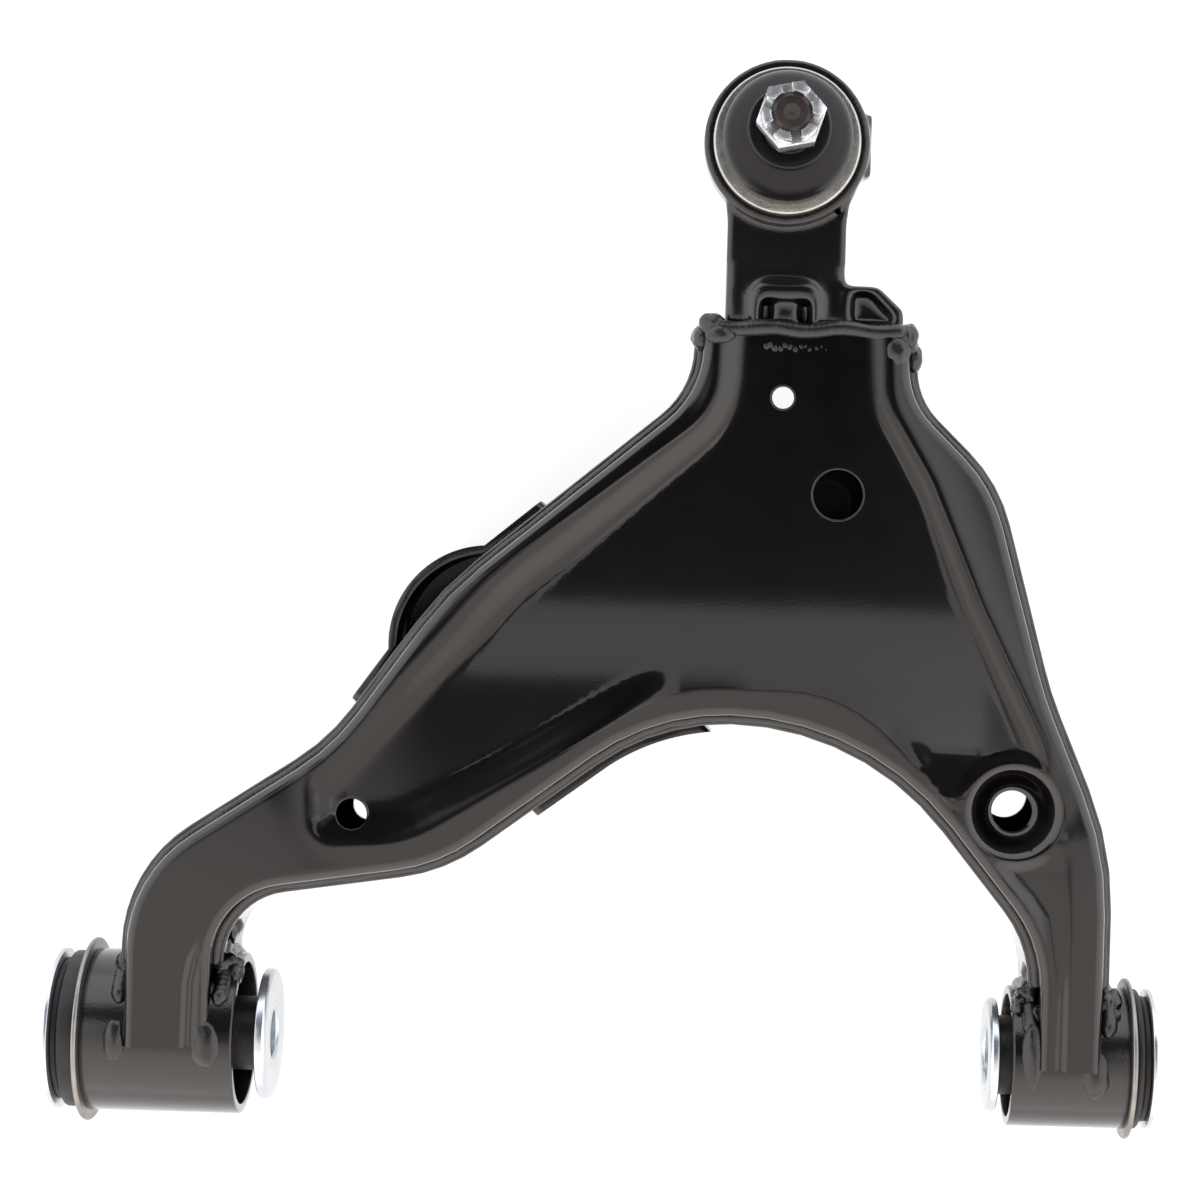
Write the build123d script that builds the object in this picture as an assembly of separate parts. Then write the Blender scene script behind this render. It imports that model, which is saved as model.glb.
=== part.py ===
from build123d import *
import math
import os

# Lower control arm with two pivot bushes and a ball joint, all sizes in millimetres.
# Origin: on the pivot axis, inside the large bush. +X runs along the pivot axis to the small bush,
# +Y runs from the axis towards the ball joint, +Z is the side that the ball stud points to.

# ---- driving dimensions ----
PIVOT_SPAN = 381.0
BALL_X = 251.0
BALL_Y = 375.5
SHEET = 3.0
PLATE = 3.4
SLIP = 0.05

LARGE_TUBE_R = 33.5
SMALL_TUBE_R = 29.2
TUBE_WALL = 4.0

# The near pressing lies on the crowns of both tubes, so its face falls slightly along +X.
FACE_Z = LARGE_TUBE_R + SHEET
FACE_TILT = math.degrees(math.asin((LARGE_TUBE_R - SMALL_TUBE_R) / PIVOT_SPAN))
NEAR_DEPTH = 27.0
RECESS_DEPTH = 3.4
RECESS_SLOPE = 30.0
BEND_R = 4.0

FAR_BOTTOM_Z = -24.0
FAR_EDGE_BELOW_FACE = 12.5
LAP_GAP = 0.8
FAR_OUTSET = LAP_GAP + SHEET + 0.2

LEG_END_Y = -1.5
NECK_END_Y = 298.0

PARTS = {}


# ---- helpers ----
def turned_x(corners, centre_x=0.0):
    """Solid turned about the pivot axis from (x, radius) corners."""
    profile = make_face(Plane.XZ * Polyline(*corners, close=True))
    return Pos(centre_x, 0, 0) * revolve(profile, Axis.X)


def turned_z(corners):
    """Solid turned about the ball joint's axis from (radius, z) corners."""
    profile = make_face(Plane.XZ * Polyline(*corners, close=True))
    return Pos(BALL_X, BALL_Y, 0) * revolve(profile, Axis.Z)


def slab(x0, x1, y0, y1, z0, z1):
    """Box between two corners."""
    return Pos(x0, y0, z0) * Box(x1 - x0, y1 - y0, z1 - z0, align=(Align.MIN,) * 3)


def prism(face, z0, z1):
    """Flat outline raised from z0 to z1."""
    return extrude(Pos(0, 0, z0) * face, z1 - z0, dir=(0, 0, 1))


def drum(x, y, radius, z0, z1):
    """Upright cylinder."""
    return Pos(x, y, z0) * Cylinder(radius, z1 - z0, align=(Align.CENTER, Align.CENTER, Align.MIN))


def onto_face(solid):
    """Moves a solid drawn below z = 0 onto the near pressing's sloping face."""
    return Pos(0, 0, FACE_Z) * Rot(0, FACE_TILT, 0) * solid


def keep(name, solid):
    PARTS[name] = solid


# ---- outline of the near pressing, seen from +Z ----
# Each edge is straight runs between corners, and the list of radii rounds the inner corners.
LEFT_CORNERS = [(-9.0, -21.5), (-9.0, 68.5), (72.4, 122.8), (117.4, 186.6), (219.3, 272.1),
                (219.3, 318.0)]
LEFT_RADII = [56.0, 90.0, 130.0, 40.0]
RIGHT_CORNERS = [(303.8, 318.0), (303.8, 271.2), (339.5, 236.8), (363.0, 151.6), (390.3, 88.3),
                 (390.3, -21.5)]
RIGHT_RADII = [33.0, 62.0, 150.0, 125.0]
ARCH_CORNERS = [(364.8, -21.5), (364.8, 50.2), (291.3, 140.2), (203.1, 140.2), (117.5, 75.9),
                (25.2, 61.6), (25.2, -21.5)]
ARCH_RADII = [53.0, 118.0, 95.0, 70.0, 32.0]


def long_outline():
    """Plan outline of the near pressing, run on past its open ends."""
    left = FilletPolyline(*LEFT_CORNERS, radius=LEFT_RADII)
    right = FilletPolyline(*RIGHT_CORNERS, radius=RIGHT_RADII)
    arch = FilletPolyline(*ARCH_CORNERS, radius=ARCH_RADII)
    return make_face([
        *left.edges(),
        Line(LEFT_CORNERS[-1], RIGHT_CORNERS[0]),
        *right.edges(),
        Line(RIGHT_CORNERS[-1], ARCH_CORNERS[0]),
        *arch.edges(),
        Line(ARCH_CORNERS[-1], LEFT_CORNERS[0]),
    ])


LONG_OUTLINE = long_outline()


def arm_outline(out=0.0, past_ends=0.0):
    """The near pressing's outline, grown sideways by out and lengthened past its open ends."""
    grown = LONG_OUTLINE if out == 0 else offset(LONG_OUTLINE, out, kind=Kind.INTERSECTION)
    low, high = LEG_END_Y - past_ends, NECK_END_Y + past_ends
    window = Pos(PIVOT_SPAN / 2, (low + high) / 2) * Rectangle(2 * PIVOT_SPAN, high - low)
    return grown & window


RECESS_CORNERS = [
    (228.0, 312.0), (227.0, 264.0), (136.5, 192.5), (66.0, 108.0), (66.0, 84.5), (104.0, 84.5),
    (212.0, 151.5), (283.0, 151.5), (319.0, 118.0), (362.0, 131.0), (336.5, 188.0),
    (316.0, 237.5), (297.0, 270.0), (294.8, 312.0),
]
RECESS_RADII = [2.0, 30.0, 150.0, 14.0, 12.0, 50.0, 60.0, 60.0, 10.0, 8.0, 60.0, 60.0, 28.0, 2.0]


def recess_outline():
    """Plan outline of the sunk panel at half its slope."""
    return make_face(FilletPolyline(*RECESS_CORNERS, radius=RECESS_RADII, close=True).edges())


RECESS = recess_outline()


# ---- holes shared by the pressings: x, y, radius ----
SIGHT_HOLE = (252.3, 270.7, 4.75)
LIGHTENING_HOLE = (275.9, 231.7, 10.4)
DATUM_HOLE = (81.3, 95.8, 6.5)
DIMPLE_HOLE = (351.8, 104.0, 8.4)
DIMPLE_TOP_R = 15.5
DIMPLE_DEPTH = 11.0
FAR_HOLES = [(252.3, 270.7, 10.0), (81.3, 95.8, 6.5), (353.0, 107.5, 9.4)]


def side_edges(face):
    """The face's edges along the arm, without those across its open ends."""
    return [
        edge for edge in face.edges()
        if LEG_END_Y + 1 < edge.center().Y < NECK_END_Y - 1
    ]


def tube_core(centre_x, radius):
    """Solid cylinder on the pivot axis, wide enough to trim whatever meets a bush tube."""
    return turned_x([(-45, 0), (45, 0), (45, radius), (-45, radius)], centre_x)


TUBE_CORES = tube_core(0, LARGE_TUBE_R) + tube_core(PIVOT_SPAN, SMALL_TUBE_R)


def sunk_panel(out, depth_z):
    """The sunk panel as a tapered plug, its top at depth_z below the face."""
    top = offset(RECESS, out, kind=Kind.INTERSECTION)
    return Pos(0, 0, depth_z) * extrude(top, -RECESS_DEPTH, taper=RECESS_SLOPE)


def near_pressing():
    body = extrude(arm_outline(), -NEAR_DEPTH)
    body = fillet(side_edges(body.faces().sort_by(Axis.Z)[-1]), BEND_R)
    hollow = Pos(0, 0, -SHEET) * extrude(arm_outline(-SHEET, 6.0), -NEAR_DEPTH)
    hollow = fillet(side_edges(hollow.faces().sort_by(Axis.Z)[-1]), BEND_R - SHEET + 0.5)
    x, y, hole_r = DIMPLE_HOLE
    cone_low = Align.CENTER, Align.CENTER, Align.MAX
    dimple = Pos(x, y, 0) * Cone(hole_r, DIMPLE_TOP_R, DIMPLE_DEPTH, align=cone_low)
    dimple_back = Cone(hole_r + SHEET, DIMPLE_TOP_R + SHEET, DIMPLE_DEPTH, align=cone_low)
    body -= sunk_panel(2.0, 0) + dimple
    hollow -= sunk_panel(3.75, -SHEET) + Pos(x, y, 0) * dimple_back
    sheet = body - hollow
    for hole_x, hole_y, radius in (SIGHT_HOLE, LIGHTENING_HOLE, DATUM_HOLE):
        sheet -= drum(hole_x, hole_y, radius, -NEAR_DEPTH, 1)
    return onto_face(sheet) - TUBE_CORES


def far_pressing():
    body = prism(arm_outline(FAR_OUTSET, -3.0), FAR_BOTTOM_Z, FACE_Z)
    body = fillet(side_edges(body.faces().sort_by(Axis.Z)[0]), BEND_R + 1)
    hollow = prism(arm_outline(LAP_GAP, 6.0), FAR_BOTTOM_Z + SHEET, FACE_Z + 1)
    hollow = fillet(side_edges(hollow.faces().sort_by(Axis.Z)[0]), BEND_R + 1 - SHEET)
    sheet = body - hollow
    sheet -= onto_face(slab(-60, 460, -20, 320, -FAR_EDGE_BELOW_FACE, 20))
    for hole_x, hole_y, radius in FAR_HOLES:
        sheet -= drum(hole_x, hole_y, radius, FAR_BOTTOM_Z - 1, FAR_BOTTOM_Z + SHEET + 1)
    return sheet - TUBE_CORES


NEAR = near_pressing()
FAR = far_pressing()
keep("near_shell", NEAR)
keep("far_shell", FAR)


# ---- seam weld on the far pressing's cut edge ----
SEAM_HEIGHT, SEAM_START_Y = 2.0, 30.0


def seam_weld():
    band = arm_outline(LAP_GAP + SHEET - 1.0, -4.0) - arm_outline(0, 1.0)
    bead = onto_face(prism(band, -FAR_EDGE_BELOW_FACE, SEAM_HEIGHT - FAR_EDGE_BELOW_FACE))
    return bead - NEAR - TUBE_CORES - slab(-60, 460, -20, SEAM_START_Y, 0, 60)


keep("seam_weld", seam_weld())


# ---- ball joint forging ----
BALL_Z = 12.0
EYE_R = 34.0
EYE_DRAFT = 0.8
EYE_TOP_Z = 30.0
HOUSING_R = 24.5
ROOT_X = (223.0, 300.3)
ROOT_Z = (-20.6, 25.0)
NECK_X = (227.5, 276.5)
NECK_Z = (-5.0, 27.0)
FLARE = 3.6
PAD_HALF, PAD_Z = 13.0, (3.0, 26.0)
EAR_Z, EAR_POCKET_Z = (2.0, 28.0), 22.0
HORSESHOE_X, HORSESHOE_TOP_Z = (238.0, 266.5), 31.0
HORSESHOE_WIDTH, HORSESHOE_R = 4.0, 6.0
POCKET_WIDTH, POCKET_Z = 4.5, 22.0


def neck():
    """Bar from the root to the eye, flaring on both sides where it meets the eye."""
    low, top = NECK_Z
    side_view = Polyline((292, ROOT_Z[0]), (300, ROOT_Z[0]), (322, low), (347, low), (347, top),
                         (318, top), (302, 28), (299, ROOT_Z[1]), (292, ROOT_Z[1]), close=True)
    bar = extrude(Pos(NECK_X[0], 0, 0) * make_face(Plane.YZ * side_view),
                  NECK_X[1] - NECK_X[0], dir=(1, 0, 0))
    for edge_x, side in zip(NECK_X, (-1, 1)):
        flare = Polyline((edge_x, 343.5), (edge_x + side * 0.25 * FLARE, 351),
                         (edge_x + side * FLARE, 357), (edge_x - side * 8, 357), close=True)
        bar += prism(make_face(flare), 0, top)
    return bar


def horseshoe():
    """Raised U on the root's top, open towards the arm, with a pocket inside each leg."""
    left, right = HORSESHOE_X
    inner_left, inner_right = left + HORSESHOE_WIDTH, right - HORSESHOE_WIDTH
    outer = slab(left, right, 299.5, 318.5, 26, HORSESHOE_TOP_Z)
    raised = outer - slab(inner_left, inner_right, 290, 311, 20, HORSESHOE_TOP_Z + 1)
    raised = fillet(raised.edges().filter_by(Axis.Z).sort_by(Axis.Y)[-2:], HORSESHOE_R)
    pockets = slab(inner_left, inner_left + POCKET_WIDTH, 301.5, 311, POCKET_Z, 32)
    pockets += slab(inner_right - POCKET_WIDTH, inner_right, 301.5, 311, POCKET_Z, 32)
    return raised, pockets


def forging():
    root = slab(*ROOT_X, 282, 300, *ROOT_Z)
    upright = Align.CENTER, Align.CENTER, Align.MIN
    eye = Pos(BALL_X, BALL_Y, 0) * Cone(EYE_R + EYE_DRAFT, EYE_R, EYE_TOP_Z, align=upright)
    pad = slab(BALL_X + 20, BALL_X + EYE_R + 0.8, BALL_Y - PAD_HALF, BALL_Y + PAD_HALF, *PAD_Z)
    ear_view = Polyline((276, 298), (276, 318), (290, 318), (301, 308), (301, 298), close=True)
    ear = prism(make_face(ear_view), *EAR_Z)
    ear_pocket = Polyline((279.5, 302.5), (279.5, 315), (287, 315), (296.5, 305), (296.5, 302.5),
                          close=True)
    ear -= prism(make_face(ear_pocket), EAR_POCKET_Z, EAR_Z[1] + 2)
    raised, pockets = horseshoe()
    body = root + neck() + eye + pad + ear + raised - pockets
    return body - drum(BALL_X, BALL_Y, HOUSING_R, -5, EYE_TOP_Z + 1)


FORGING = forging()
keep("ball_joint_forging", FORGING)


def across_x(x0, x1, y, z, radius):
    """Round bar along X."""
    return Pos(x0, y, z) * Rot(0, 90, 0) * Cylinder(
        radius, x1 - x0, align=(Align.CENTER, Align.CENTER, Align.MIN))


NECK_WELD_X, NECK_WELD_Y, NECK_WELD_Z, NECK_WELD_R = (221.0, 303.0), 299.5, 28.5, 3.8
neck_weld = across_x(*NECK_WELD_X, NECK_WELD_Y, NECK_WELD_Z, NECK_WELD_R)
keep("forging_weld", neck_weld - NEAR - FORGING)


# ---- bush tubes ----
LARGE_TUBE = (-27.5, 35.0)
SMALL_TUBE = (-26.5, 22.0)


def pipe(x0, x1, inner_r, outer_r, centre_x):
    return turned_x([(x0, inner_r), (x1, inner_r), (x1, outer_r), (x0, outer_r)], centre_x)


LARGE_SHELL_R = LARGE_TUBE_R - TUBE_WALL
SMALL_SHELL_R = SMALL_TUBE_R - TUBE_WALL + 0.3
keep("large_bush_tube", pipe(*LARGE_TUBE, LARGE_SHELL_R, LARGE_TUBE_R, 0))
keep("small_bush_tube", pipe(*SMALL_TUBE, SMALL_SHELL_R, SMALL_TUBE_R, PIVOT_SPAN))


# ---- welds round the bush tubes ----
TUBE_BEAD_R = 3.4


def tube_bead(centre_x, tube_r, x, from_deg, to_deg):
    """Weld bead round a tube, from one angle to another, measured from +Y towards +Z."""
    ring = Plane.XY * Pos(x, tube_r + 0.6) * Circle(TUBE_BEAD_R)
    arc = Rot(from_deg, 0, 0) * revolve(ring, Axis.X, to_deg - from_deg)
    return arc - tube_core(centre_x, tube_r)


def tube_welds(centre_x, tube_r, near_sides, end_deg):
    low_deg = -math.degrees(math.asin(-FAR_BOTTOM_Z / tube_r)) - 4
    outboard = -FAR_OUTSET + 0.6, FAR_OUTSET - 0.6
    beads = [
        tube_bead(centre_x, tube_r, side + step, low_deg, end_deg) - NEAR - FAR
        for side, step in zip(near_sides, outboard)
    ]
    return beads[0] + beads[1]


keep("large_tube_weld", tube_welds(0, LARGE_TUBE_R, (-9.0, 25.2), 111))
keep("small_tube_weld", tube_welds(PIVOT_SPAN, SMALL_TUBE_R, (364.8, 390.3), 120))


# ---- bushes ----
# Distances along each bush grow towards its flange: side is -1 for the large bush, whose flange
# is at its -X end, and +1 for the small one, whose flange is at its +X end.
SHELL_WALL = 1.7
FLANGE = 2.2
WASHER_GAP = 0.3
CHAMFER = 1.2
MOUTH_INSET = 9.0
MOUTH_DEPTH = 7.0
LIP_STEP = 3.0
NECK_RUBBER = 1.8


def bush(name, centre_x, side, shell_r, tube_end, flange_r, lip_r, sleeve_r, ends, thin_washer,
         thick_washer):
    """One bush: outer shell, rubber, inner sleeve and the washer at each end of the sleeve."""
    bore_r, sleeve_out_r = sleeve_r
    back, front = ends
    thin_r, thin = thin_washer
    thick_r, thick = thick_washer
    rubber_out_r = shell_r - SHELL_WALL
    mouth = MOUTH_INSET - tube_end
    groove_end = mouth + 2 + MOUTH_DEPTH
    lip_start = tube_end + FLANGE
    lip_end = front - thin - WASHER_GAP
    neck_end = back + thick + WASHER_GAP
    neck_r = sleeve_out_r + NECK_RUBBER
    rubber_r = sleeve_out_r + SLIP

    def turned(corners):
        return turned_x([(side * x, r) for x, r in corners], centre_x)

    keep(name + "_bush_outer_shell", turned([
        (mouth, rubber_out_r), (lip_start, rubber_out_r), (lip_start, flange_r),
        (tube_end, flange_r), (tube_end, shell_r), (mouth, shell_r)]))
    keep(name + "_bush_rubber", turned([
        (neck_end, rubber_r), (lip_end, rubber_r), (lip_end, lip_r - LIP_STEP),
        (lip_end - 2.2, lip_r - LIP_STEP), (lip_end - 3.4, lip_r), (lip_start + CHAMFER, lip_r),
        (lip_start, lip_r - CHAMFER), (lip_start, rubber_out_r), (mouth + 2, rubber_out_r),
        (groove_end, rubber_out_r - 5), (groove_end, neck_r + 2.5), (mouth + 4, neck_r),
        (neck_end, neck_r)]))
    keep(name + "_inner_sleeve", turned([
        (back, bore_r + CHAMFER), (back + CHAMFER, bore_r), (front - CHAMFER, bore_r),
        (front, bore_r + CHAMFER), (front, sleeve_out_r), (back, sleeve_out_r)]))
    keep(name + "_outer_washer", turned([
        (front - thin, sleeve_out_r), (front, sleeve_out_r), (front, thin_r),
        (front - thin, thin_r)]))
    keep(name + "_inner_washer", turned([
        (back + thick, sleeve_out_r), (back, sleeve_out_r), (back, thick_r - CHAMFER),
        (back + CHAMFER, thick_r), (back + thick, thick_r)]))


bush("large", 0, -1, LARGE_SHELL_R, -LARGE_TUBE[0], 38.0, 32.4, (10.25, 13.5), (-47.4, 42.5),
     (33.3, 2.0), (27.0, 4.5))
bush("small", PIVOT_SPAN, 1, SMALL_SHELL_R, SMALL_TUBE[1], 33.3, 29.0, (12.0, 14.6),
     (-35.3, 33.1), (29.2, 2.0), (23.6, 4.0))


# ---- ball joint ----
BALL_R = 14.0
CUP_OUT_R = 16.5
SEAT_R = 20.0
LIP_Z = BALL_Z + 7.8
LIP_R = 11.8
CUP_HALF_ANGLE = 33.0
SEAT_FLOOR_Z = -4.7
COVER = 3.0
HOUSING_LOW_Z = -9.5
FLANGE_R = 30.2
FLANGE_TOP_Z = 33.4
NECK_R = 7.2
TILT_CLEAR_TOP_R = 19.5


def ball(radius):
    return Pos(BALL_X, BALL_Y, BALL_Z) * Sphere(radius)


def below_ball_cone(half_angle, reach=30.0):
    """Downward cone with its tip at the ball's centre."""
    return turned_z([(0, BALL_Z), (reach * math.tan(math.radians(half_angle)), BALL_Z - reach),
                     (0, BALL_Z - reach)])


keep("ball_joint_housing", turned_z([
    (SEAT_R, HOUSING_LOW_Z + 1.8), (SEAT_R - 1.5, HOUSING_LOW_Z), (HOUSING_R - 1, HOUSING_LOW_Z),
    (HOUSING_R, HOUSING_LOW_Z + 1), (HOUSING_R, EYE_TOP_Z), (FLANGE_R, EYE_TOP_Z),
    (FLANGE_R, FLANGE_TOP_Z), (TILT_CLEAR_TOP_R, FLANGE_TOP_Z), (LIP_R + 2.6, LIP_Z + 3),
    (LIP_R + 2.6, LIP_Z + 1), (SEAT_R, LIP_Z + 1)]))
opening = turned_z([(0, BALL_Z), (LIP_R, LIP_Z - 0.5), (LIP_R + 0.6, LIP_Z + 1), (0, LIP_Z + 1)])
cup_room = ball(CUP_OUT_R + 0.1) & below_ball_cone(CUP_HALF_ANGLE + 25)
keep("bearing_seat", turned_z([(0, SEAT_FLOOR_Z), (SEAT_R, SEAT_FLOOR_Z), (SEAT_R, LIP_Z + 1),
                               (0, LIP_Z + 1)])
     - ball(BALL_R + SLIP) - opening - cup_room)
keep("pressure_cup", (ball(CUP_OUT_R) - ball(BALL_R + SLIP)) & below_ball_cone(CUP_HALF_ANGLE))
keep("bottom_cover", turned_z([(0, SEAT_FLOOR_Z - COVER), (SEAT_R, SEAT_FLOOR_Z - COVER),
                               (SEAT_R, SEAT_FLOOR_Z), (0, SEAT_FLOOR_Z)]))
keep("retaining_ring", turned_z([(HOUSING_R, -4.2), (HOUSING_R + 2.6, -4.2),
                                 (HOUSING_R + 2.6, -1.8), (HOUSING_R, -1.8)]))

COLLAR_R, COLLAR_LOW_Z, COLLAR_TOP_Z = 11.0, 48.0, 63.0
TAPER_LARGE_R, TAPER_SMALL_R, TAPER_TOP_Z = 9.65, 8.1, 81.6
THREAD_R, TIP_R, TIP_Z = 7.9, 6.2, 98.4
STUD = turned_z([
    (0, BALL_Z), (NECK_R, BALL_Z), (NECK_R, COLLAR_LOW_Z - 5), (COLLAR_R, COLLAR_LOW_Z),
    (COLLAR_R, COLLAR_TOP_Z), (TAPER_LARGE_R, COLLAR_TOP_Z), (TAPER_SMALL_R, TAPER_TOP_Z),
    (THREAD_R, TAPER_TOP_Z), (THREAD_R, TIP_Z - 1.7), (TIP_R, TIP_Z), (0, TIP_Z)]) + ball(BALL_R)
keep("ball_stud", STUD)

BOOT_BASE_R, BOOT_BASE_Z, BOOT_TOP_Z = 25.5, FLANGE_TOP_Z, 62.0
keep("dust_boot", turned_z([
    (22.5, BOOT_BASE_Z), (BOOT_BASE_R, BOOT_BASE_Z), (BOOT_BASE_R, 38.5), (27.4, 41.0),
    (27.4, 45.5), (24.5, 51.5), (19.5, 56.0), (15.2, 58.2), (15.2, BOOT_TOP_Z),
    (COLLAR_R + SLIP, BOOT_TOP_Z), (COLLAR_R + SLIP, 55.5), (17.0, 53.5), (22.0, 49.5),
    (24.2, 45.0), (24.2, 42.0), (22.5, 39.0)]))
keep("boot_base_ring", turned_z([(BOOT_BASE_R, 34.2), (BOOT_BASE_R + 1.5, 34.2),
                                 (BOOT_BASE_R + 1.5, 38.2), (BOOT_BASE_R, 38.2)]))
keep("boot_top_ring", turned_z([(15.25, 58.6), (16.7, 58.6), (16.7, 64.4), (COLLAR_R + SLIP, 64.4),
                                (COLLAR_R + SLIP, 62.4), (15.25, 62.4)]))

NUT_FLATS, NUT_LOW_Z, NUT_HEX_TOP_Z, NUT_TOP_Z = 24.0, 82.0, 92.5, 99.0
NUT_SLOT, NUT_CROWN_R, NUT_BORE_R, NUT_SLOTS = 4.2, 11.3, 8.0, 6


def castle_nut():
    """Slotted nut whose corners sit 12 degrees round from +X."""
    turn = 12.0
    corner_r = NUT_FLATS / math.sqrt(3)
    hexagon = prism(RegularPolygon(corner_r, NUT_SLOTS), NUT_LOW_Z, NUT_HEX_TOP_Z)
    body = hexagon + drum(0, 0, NUT_CROWN_R, NUT_LOW_Z, NUT_TOP_Z)
    body -= drum(0, 0, NUT_BORE_R, NUT_LOW_Z - 1, NUT_TOP_Z + 1)
    for index in range(NUT_SLOTS // 2):
        cut = slab(-20, 20, -NUT_SLOT / 2, NUT_SLOT / 2, NUT_HEX_TOP_Z, NUT_TOP_Z + 1)
        body -= Rot(0, 0, 30 + index * 360 / NUT_SLOTS) * cut
    return Pos(BALL_X, BALL_Y, 0) * Rot(0, 0, turn) * body


keep("castle_nut", castle_nut())


# ---- shock absorber bracket on the far side ----
# Bracket directions: along runs up the arm's left edge, over runs square to it to the arch.
BRACKET_DEG = 46.6
ALONG = (math.cos(math.radians(BRACKET_DEG)), math.sin(math.radians(BRACKET_DEG)), 0)
OVER = (ALONG[1], -ALONG[0], 0)
SIDE_VIEW = Plane(origin=(0, 0, 0), x_dir=ALONG, z_dir=OVER)
BOLT_ALONG, BOLT_Z, BOLT_HOLE_R = 212.0, -52.0, 8.5
BRACKET_TOP_Z, BRACKET_LOW_Z = 12.0, -72.0
BULGE_R, BULGE_OVER, BULGE_LOW_Z = 41.4, -17.3, -28.0
SPACER_R, SPACER_FACE = 16.0, 31.0


def from_side(face, over_0, over_1):
    """Side-view face raised between two distances over the arm."""
    return extrude(SIDE_VIEW * Pos(0, 0, over_0) * face, over_1 - over_0, dir=OVER)


def bolt_bar(radius, over_0, over_1):
    return from_side(Pos(BOLT_ALONG, BOLT_Z) * Circle(radius), over_0, over_1)


def plate_view(along_0, along_1):
    """Side view of a bracket plate: full length on the pressing, narrowing to the bolt."""
    corners = [(along_0, BRACKET_TOP_Z), (along_1, BRACKET_TOP_Z), (along_1, -22),
               (BOLT_ALONG + 30, BRACKET_LOW_Z), (BOLT_ALONG - 34, BRACKET_LOW_Z),
               (along_0, -22)]
    view = make_face(FilletPolyline(*corners, radius=[4, 4, 16, 14, 14, 16], close=True).edges())
    return view


def bracket_plate(along_0, along_1, over_0, over_1):
    band = arm_outline(FAR_OUTSET + PLATE) - arm_outline(FAR_OUTSET)
    plate = prism(band, BRACKET_LOW_Z, BRACKET_TOP_Z)
    return plate & from_side(plate_view(along_0, along_1), over_0, over_1)


def upright_round(radius, z0, z1):
    """Upright cylinder at the centre of the outer plate's bulge."""
    x = BOLT_ALONG * ALONG[0] + BULGE_OVER * OVER[0]
    y = BOLT_ALONG * ALONG[1] + BULGE_OVER * OVER[1]
    return drum(x, y, radius, z0, z1)


def outer_plate():
    plate = bracket_plate(156, 270, -90, -15)
    arm_body = prism(arm_outline(FAR_OUTSET), BRACKET_LOW_Z, BRACKET_TOP_Z)
    arm_and_plate = prism(arm_outline(FAR_OUTSET + 0.5), BULGE_LOW_Z - 1, BRACKET_TOP_Z + 1)
    bulge = upright_round(BULGE_R, BULGE_LOW_Z, BRACKET_TOP_Z) - arm_body
    room = upright_round(BULGE_R - PLATE, BULGE_LOW_Z + PLATE, BRACKET_TOP_Z + 1)
    room -= prism(arm_outline(0), BULGE_LOW_Z, BRACKET_TOP_Z + 1)
    left_half = from_side(Pos(BOLT_ALONG, 0) * Rectangle(120, 200), -90, -15)
    return (plate + (bulge & left_half)) - room - bolt_bar(BOLT_HOLE_R, -90, 90)


OUTER_PLATE = outer_plate()
INNER_PLATE = bracket_plate(176, 252, 15, 90) - bolt_bar(BOLT_HOLE_R, -90, 90)
keep("shock_bracket_outer_plate", OUTER_PLATE)
keep("shock_bracket_inner_plate", INNER_PLATE)

WEB_ALONG = 179.0
web_view = Pos(WEB_ALONG, (FAR_BOTTOM_Z + BRACKET_LOW_Z + 8) / 2) * Rectangle(
    PLATE, FAR_BOTTOM_Z - BRACKET_LOW_Z - 8)
between_plates = prism(arm_outline(FAR_OUTSET), BRACKET_LOW_Z, BRACKET_TOP_Z)
keep("shock_bracket_web", from_side(web_view, -80, 80) & between_plates)
for spacer_name, over_0, over_1 in (("outer", -80, -SPACER_FACE), ("inner", SPACER_FACE, 80)):
    spacer = bolt_bar(SPACER_R, over_0, over_1) - bolt_bar(BOLT_HOLE_R, -90, 90)
    keep("shock_spacer_" + spacer_name, spacer & between_plates)

# The welded nut is on the outer plate, below its bulge; the bolt hole runs on into it for a start.
NUT_THREAD_R, NUT_FAR_OVER, THREAD_OVER = 7.1, -60.4, -51.5
nut_view = Pos(BOLT_ALONG, BOLT_Z) * (RegularPolygon(24 / math.sqrt(3), 6) - Circle(NUT_THREAD_R))
plate_and_inside = prism(arm_outline(FAR_OUTSET + PLATE), BRACKET_LOW_Z, BRACKET_TOP_Z)
keep("shock_weld_nut", from_side(nut_view, NUT_FAR_OVER, -40) - plate_and_inside
     - bolt_bar(BOLT_HOLE_R, THREAD_OVER, -40))


# ---- write one file per piece ----
os.makedirs("parts", exist_ok=True)
for name, solid in PARTS.items():
    export_step(solid, "parts/" + name + ".step")
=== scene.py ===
import math

import bmesh
import bpy
import numpy as np
from mathutils import Matrix, Vector, noise
from mathutils.geometry import delaunay_2d_cdt


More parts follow.
